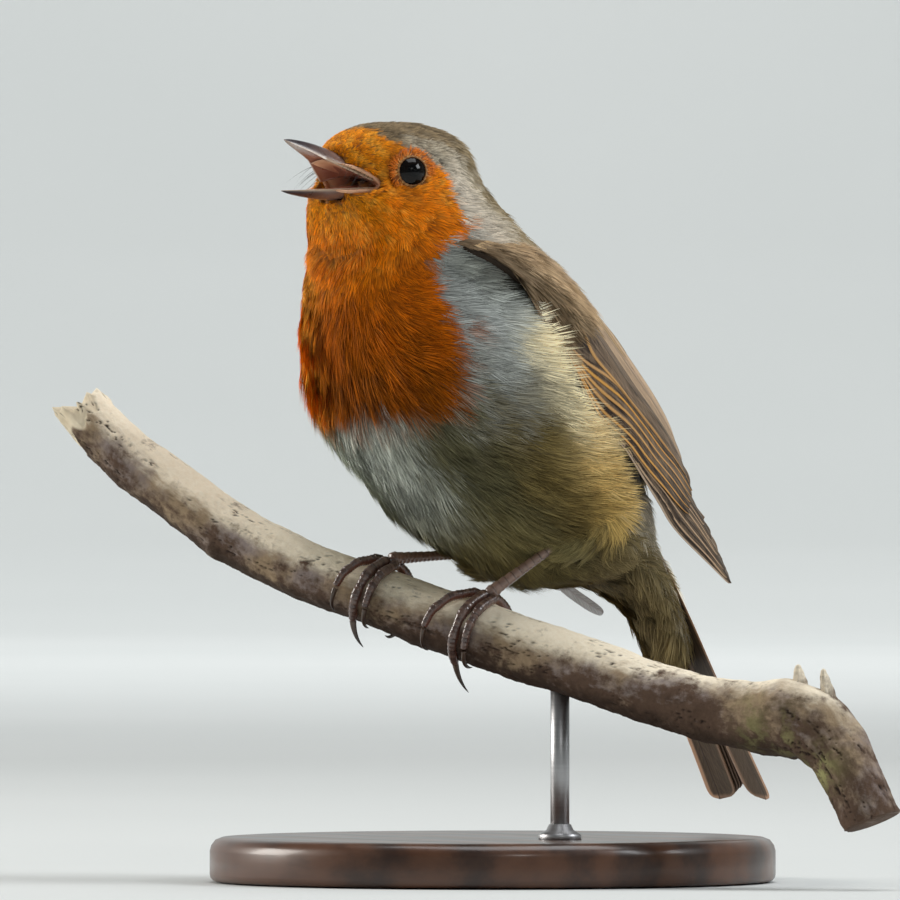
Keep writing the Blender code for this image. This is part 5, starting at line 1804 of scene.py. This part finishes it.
feet = {
    "leftToes": [("inner", -1.9, -6.6, 8.0, 98.0, 0.72), ("middle", 0.0, -0.9, 10.0, 150.0, 0.82),
                 ("outer", 1.9, 1.4, 8.0, 112.0, 0.74), ("hind", 0.2, 2.4, -12.0, -118.0, 0.84)],
    "rightToes": [("inner", -1.9, -4.8, 8.0, 84.0, 0.72), ("middle", 0.0, -0.9, 10.0, 130.0, 0.82),
                  ("outer", 1.9, 1.3, 8.0, 100.0, 0.74), ("hind", 0.4, 2.6, -12.0, -128.0, 0.84)],
    "tarsus": 25.5, "tarsusRadius": 0.85, "clawLength": 5.2, "gap": 0.3,
}


def perchStation(point):
    t = np.arange(0, (len(perch["line"]) - 1) * 100) / 100.0
    return float(t[np.argmin(np.linalg.norm(spline(perch["line"], t) - np.asarray(point), axis=1))])


def roundPerch(t, axial, angle, clearance):
    line = perch["line"]
    _, _, forward, up, radius = perchWays(t)
    step = np.linalg.norm(spline(line, t + 0.05) - spline(line, t - 0.05)) * 10.0
    a = math.radians(angle)
    reach = radius * 1.06 + clearance
    return spline(line, t + axial / step) + forward * math.sin(a) * reach + up * math.cos(a) * reach


def scaleFinish():
    look = Finish("legScales")
    scute, seam, sole = (look.attribute(n) for n in ("scuteTone", "scuteSeam", "soleShade"))
    grain = look.noise(1500.0, 3.0)
    base = look.mix(grain, (60, 42, 38), (94, 70, 62))
    base = look.mix(look.times(scute, 0.22), base, (176, 142, 124))
    base = look.mix(sole, base, (108, 62, 44))
    # painted highlight along the shank's front
    base = look.mix(look.attribute("shankPale"), base, (168, 138, 122))
    base = look.mix(seam, base, (36, 22, 20))
    look.give({"Base Color": base, "Roughness": look.span(grain, 0.2, 0.8, 0.24, 0.4), "Coat Weight": 0.75,
               "Coat Roughness": 0.22})
    look.bump(look.minus(grain, look.times(seam, 1.5)), 0.4, 0.00008)
    return look.made


def clawFinish():
    look = Finish("clawHorn")
    tip = look.attribute("clawTip")
    streak = look.noise(1200.0, 2.0)
    root = look.mix(streak, (72, 54, 44), (98, 78, 62))
    look.give({"Base Color": look.mix(tip, root, (24, 19, 18)), "Roughness": 0.3, "Coat Weight": 0.25})
    return look.made


def scaledTube(build, line, radii, sides, pitch, front, padAt=None, pale=0.0):
    # A tube with overlapping plates along its front and rounded pads along its back.
    line = np.asarray(line, float)
    reach = reachAlong(line)
    along = unit(np.gradient(line, axis=0))
    side = unit(np.cross(along, np.asarray(front, float)))
    ahead = np.cross(side, along)
    a = roundAngles(sides)
    onFront = ease(np.sin(a), -0.2, 0.35)[None]
    phase = reach / pitch
    saw = phase - np.floor(phase)
    tone = np.floor(phase)
    plate = (0.15 * saw - 0.06)[:, None] * onFront
    seam = ease(np.abs(saw - 0.5), 0.4, 0.5)[:, None] * onFront
    bead = (0.05 * np.sin(phase * 2 * math.pi * 1.6))[:, None] * (1 - onFront)
    r = np.asarray(radii, float)[:, None] * (1 + plate + bead)
    if padAt is not None:
        pads = 0.28 * np.exp(-((reach[:, None] / reach[-1] - np.array(padAt)[None]) / 0.085) ** 2).sum(1)
        r = r * (1 + pads[:, None] * ease(-np.sin(a), 0.1, 0.9)[None] * 0.8)
    rows = (line[:, None] + side[:, None] * (np.cos(a) * r)[..., None]
            + ahead[:, None] * (np.sin(a) * r)[..., None])
    # pale weights a painted highlight along the front and takes the darker sole away
    build.add(rows, scuteTone=(0.5 + 0.5 * np.sin(tone * 2.4))[:, None] * onFront, scuteSeam=seam * 0.8,
              soleShade=0.7 * (1 - onFront) * (1 - pale), shankPale=pale * (0.4 + 0.6 * onFront))


def makeLeg(side, skin, horn):
    word = "left" if side > 0 else "right"
    ball, way = legLine(side)
    f = np.linspace(0, 0.98, 150)
    thick = feet["tarsusRadius"] * np.interp(f, [0, 0.05, 0.1, 0.3, 0.5, 0.7, 0.9, 1.0],
                                             [1.12, 1.28, 1.08, 0.92, 0.9, 0.95, 1.1, 0.9])
    thick = thick * np.sqrt(np.clip(f / 0.012 + 0.1, 0, 1))
    ahead = unit(np.cross(way, np.cross([0.15 * side, -1.0, 0.1], way)))
    shank = MeshBuilder()
    # the shank carries a painted highlight
    scaledTube(shank, ball + way * (feet["tarsus"] * f)[:, None], thick, 28, 1.3, ahead, pale=0.42)
    handOver(shank.build("shank_" + word + "_scales", skin), "leg_skin", "shank_" + word)
    t = perchStation(ball)
    size = 1.0 if side > 0 else 0.9
    for name, start, end, turnFrom, turnTo, girth in feet[word + "Toes"]:
        spots, girths = [], []
        for i in range(9):
            f = i / 8.0
            along = 1 - (1 - f) ** 1.6
            here = girth * (1 - 0.18 * f) * (1 + 0.1 * math.cos(f * math.pi * 6.0))
            spots.append(roundPerch(t, start + (end - start) * along, turnFrom + (turnTo - turnFrom) * f,
                                    here + feet["gap"] * 0.5))
            girths.append(here)
        girths[0] *= 0.95
        girths[-1] *= 0.8
        u = np.linspace(0, 8, 90)
        line = spline(spots, u)
        line = np.concatenate([line[:1] + (ball - line[:1]) * 0.55, line])  # back into the ball of the foot
        radii = np.concatenate([[girths[0] * 0.8], spline(girths, u)])
        radii[-3:] *= [0.93, 0.75, 0.4]
        heart = spline(perch["line"], t)
        toe = MeshBuilder()
        away = unit(line - heart)
        along = unit(np.gradient(line, axis=0))
        front = unit(away - along * (away * along).sum(1, keepdims=True))
        scaledTube(toe, line, radii, 22, 0.68, front, (0.3, 0.62, 0.9))
        key = word + "_" + name
        handOver(toe.build("toe_" + key + "_scales", skin), "leg_skin", "toe_" + key)
        run = unit(np.array(spots[-1]) - np.array(spots[-2]))
        if name == "middle":
            claw = [np.array(spots[-1]) + run * 0.1]
            for i in range(1, 6):
                lean = unit(run * (1 - 0.2 * i) + np.array([0.1 * i, 0.15 * i, -1.15]))
                claw.append(claw[-1] + lean * feet["clawLength"] * size / 5.0)
        else:
            turn = math.copysign(1.0, turnTo)
            claw = [roundPerch(t, end, turnTo + turn * (4.0 + f * 48.0 * size),
                               0.62 + 0.5 * math.sin(math.pi * f) - 0.35 * f) for f in np.arange(6) / 5.0]
        u = np.linspace(0, 5, 40)
        share = u / 5.0
        line = spline(claw, u)
        girth = np.maximum(0.58 * (1 - share) ** 0.7, 0.05)
        front = unit(np.gradient(np.gradient(line, axis=0), axis=0) + 1e-6)
        sideways = unit(np.cross(unit(np.gradient(line, axis=0)), front.mean(axis=0)))
        build = MeshBuilder()
        build.add(tubeRows(line, girth, 18, up=sideways.mean(axis=0), flat=0.72), clawTip=share[:, None])
        handOver(build.build("claw_" + key + "_horn", horn), "claw_horn", "claw_" + key)


# the stand

stand = {
    "centre": (0.0, 8.0), "radius": 45.0, "thick": 7.0, "top": -61.5,
    "rod": (20.9, 7.4), "rodRadius": 1.5, "holeRadius": 1.8,
}


def turnedRows(centre, profile, sides):
    # Rings round an upright axis, from pairs of radius and height.
    a = roundAngles(sides)
    return np.array([[(centre[0] + r * math.cos(k), centre[1] + r * math.sin(k), z) for k in a]
                     for r, z in profile])


def woodFinish():
    look = Finish("standWood")
    long = look.add("ShaderNodeMapping", {"Scale": (60.0, 700.0, 700.0), "Vector": look.place()})
    grain = look.noise(0.35, 6.0, long, 0.6)
    waves = {"Scale": 26.0, "Distortion": 5.0, "Detail Scale": 3.0, "Vector": look.place()}
    both = look.plus(look.times(grain, 0.7), look.times(look.bands(waves), 0.3))
    look.give({"Base Color": look.mix(look.span(both, 0.25, 0.75), (52, 32, 22), (96, 62, 42)),
               "Roughness": look.span(grain, 0.2, 0.8, 0.3, 0.42), "Coat Weight": 0.35,
               "Coat Roughness": 0.16})
    look.bump(grain, 0.15, 0.00012)
    return look.made


def steelFinish():
    look = Finish("standSteel")
    brushed = look.add("ShaderNodeMapping", {"Scale": (90.0, 90.0, 2600.0), "Vector": look.place()})
    lines = look.noise(1.0, 3.0, brushed)
    look.give({"Base Color": look.mix(lines, (0.42, 0.42, 0.43), (0.62, 0.62, 0.63)),
               "Roughness": look.span(lines, 0.2, 0.8, 0.36, 0.46), "Metallic": 1.0})
    look.bump(lines, 0.03, 0.00003)
    return look.made


def makeStand():
    radius, top, low = stand["radius"], stand["top"], stand["top"] - stand["thick"]
    profile = [(0.01, low), (radius - 1.0, low), (radius - 0.5, low + 0.15), (radius - 0.1, low + 0.6),
               (radius, low + 1.2), (radius, top - 2.2), (radius - 0.25, top - 1.3),
               (radius - 0.9, top - 0.45), (radius - 1.9, top - 0.06), (radius - 3.0, top),
               (radius * 0.5, top), (0.01, top)]
    base = MeshBuilder()
    base.add(turnedRows(stand["centre"], profile, 160))
    handOver(base.build("stand_disc", woodFinish()), "stand_wood", "stand_base")
    centre = perchWays(perchStation((*stand["rod"], -33.5)))[0]
    r, foot, head = stand["rodRadius"], top - 4.0, centre[2] - 1.4
    rod = MeshBuilder()
    rod.add(turnedRows(stand["rod"], [(0.01, foot), (r, foot), (r, head), (0.01, head)], 48))
    collar = [(stand["holeRadius"], top - 0.2), (3.4, top - 0.2), (3.4, top + 0.7), (3.1, top + 1.05),
              (2.2, top + 1.5), (1.75, top + 2.4), (1.53, top + 2.5)]
    rod.add(turnedRows(stand["rod"], collar, 64), caps=False)
    handOver(rod.build("stand_pin", steelFinish()), "stand_steel", "stand_rod")


makePerch()
scales, clawHorn = scaleFinish(), clawFinish()
makeLeg(1, scales, clawHorn)
makeLeg(-1, scales, clawHorn)
makeStand()
print("perch, feet and stand are in place")
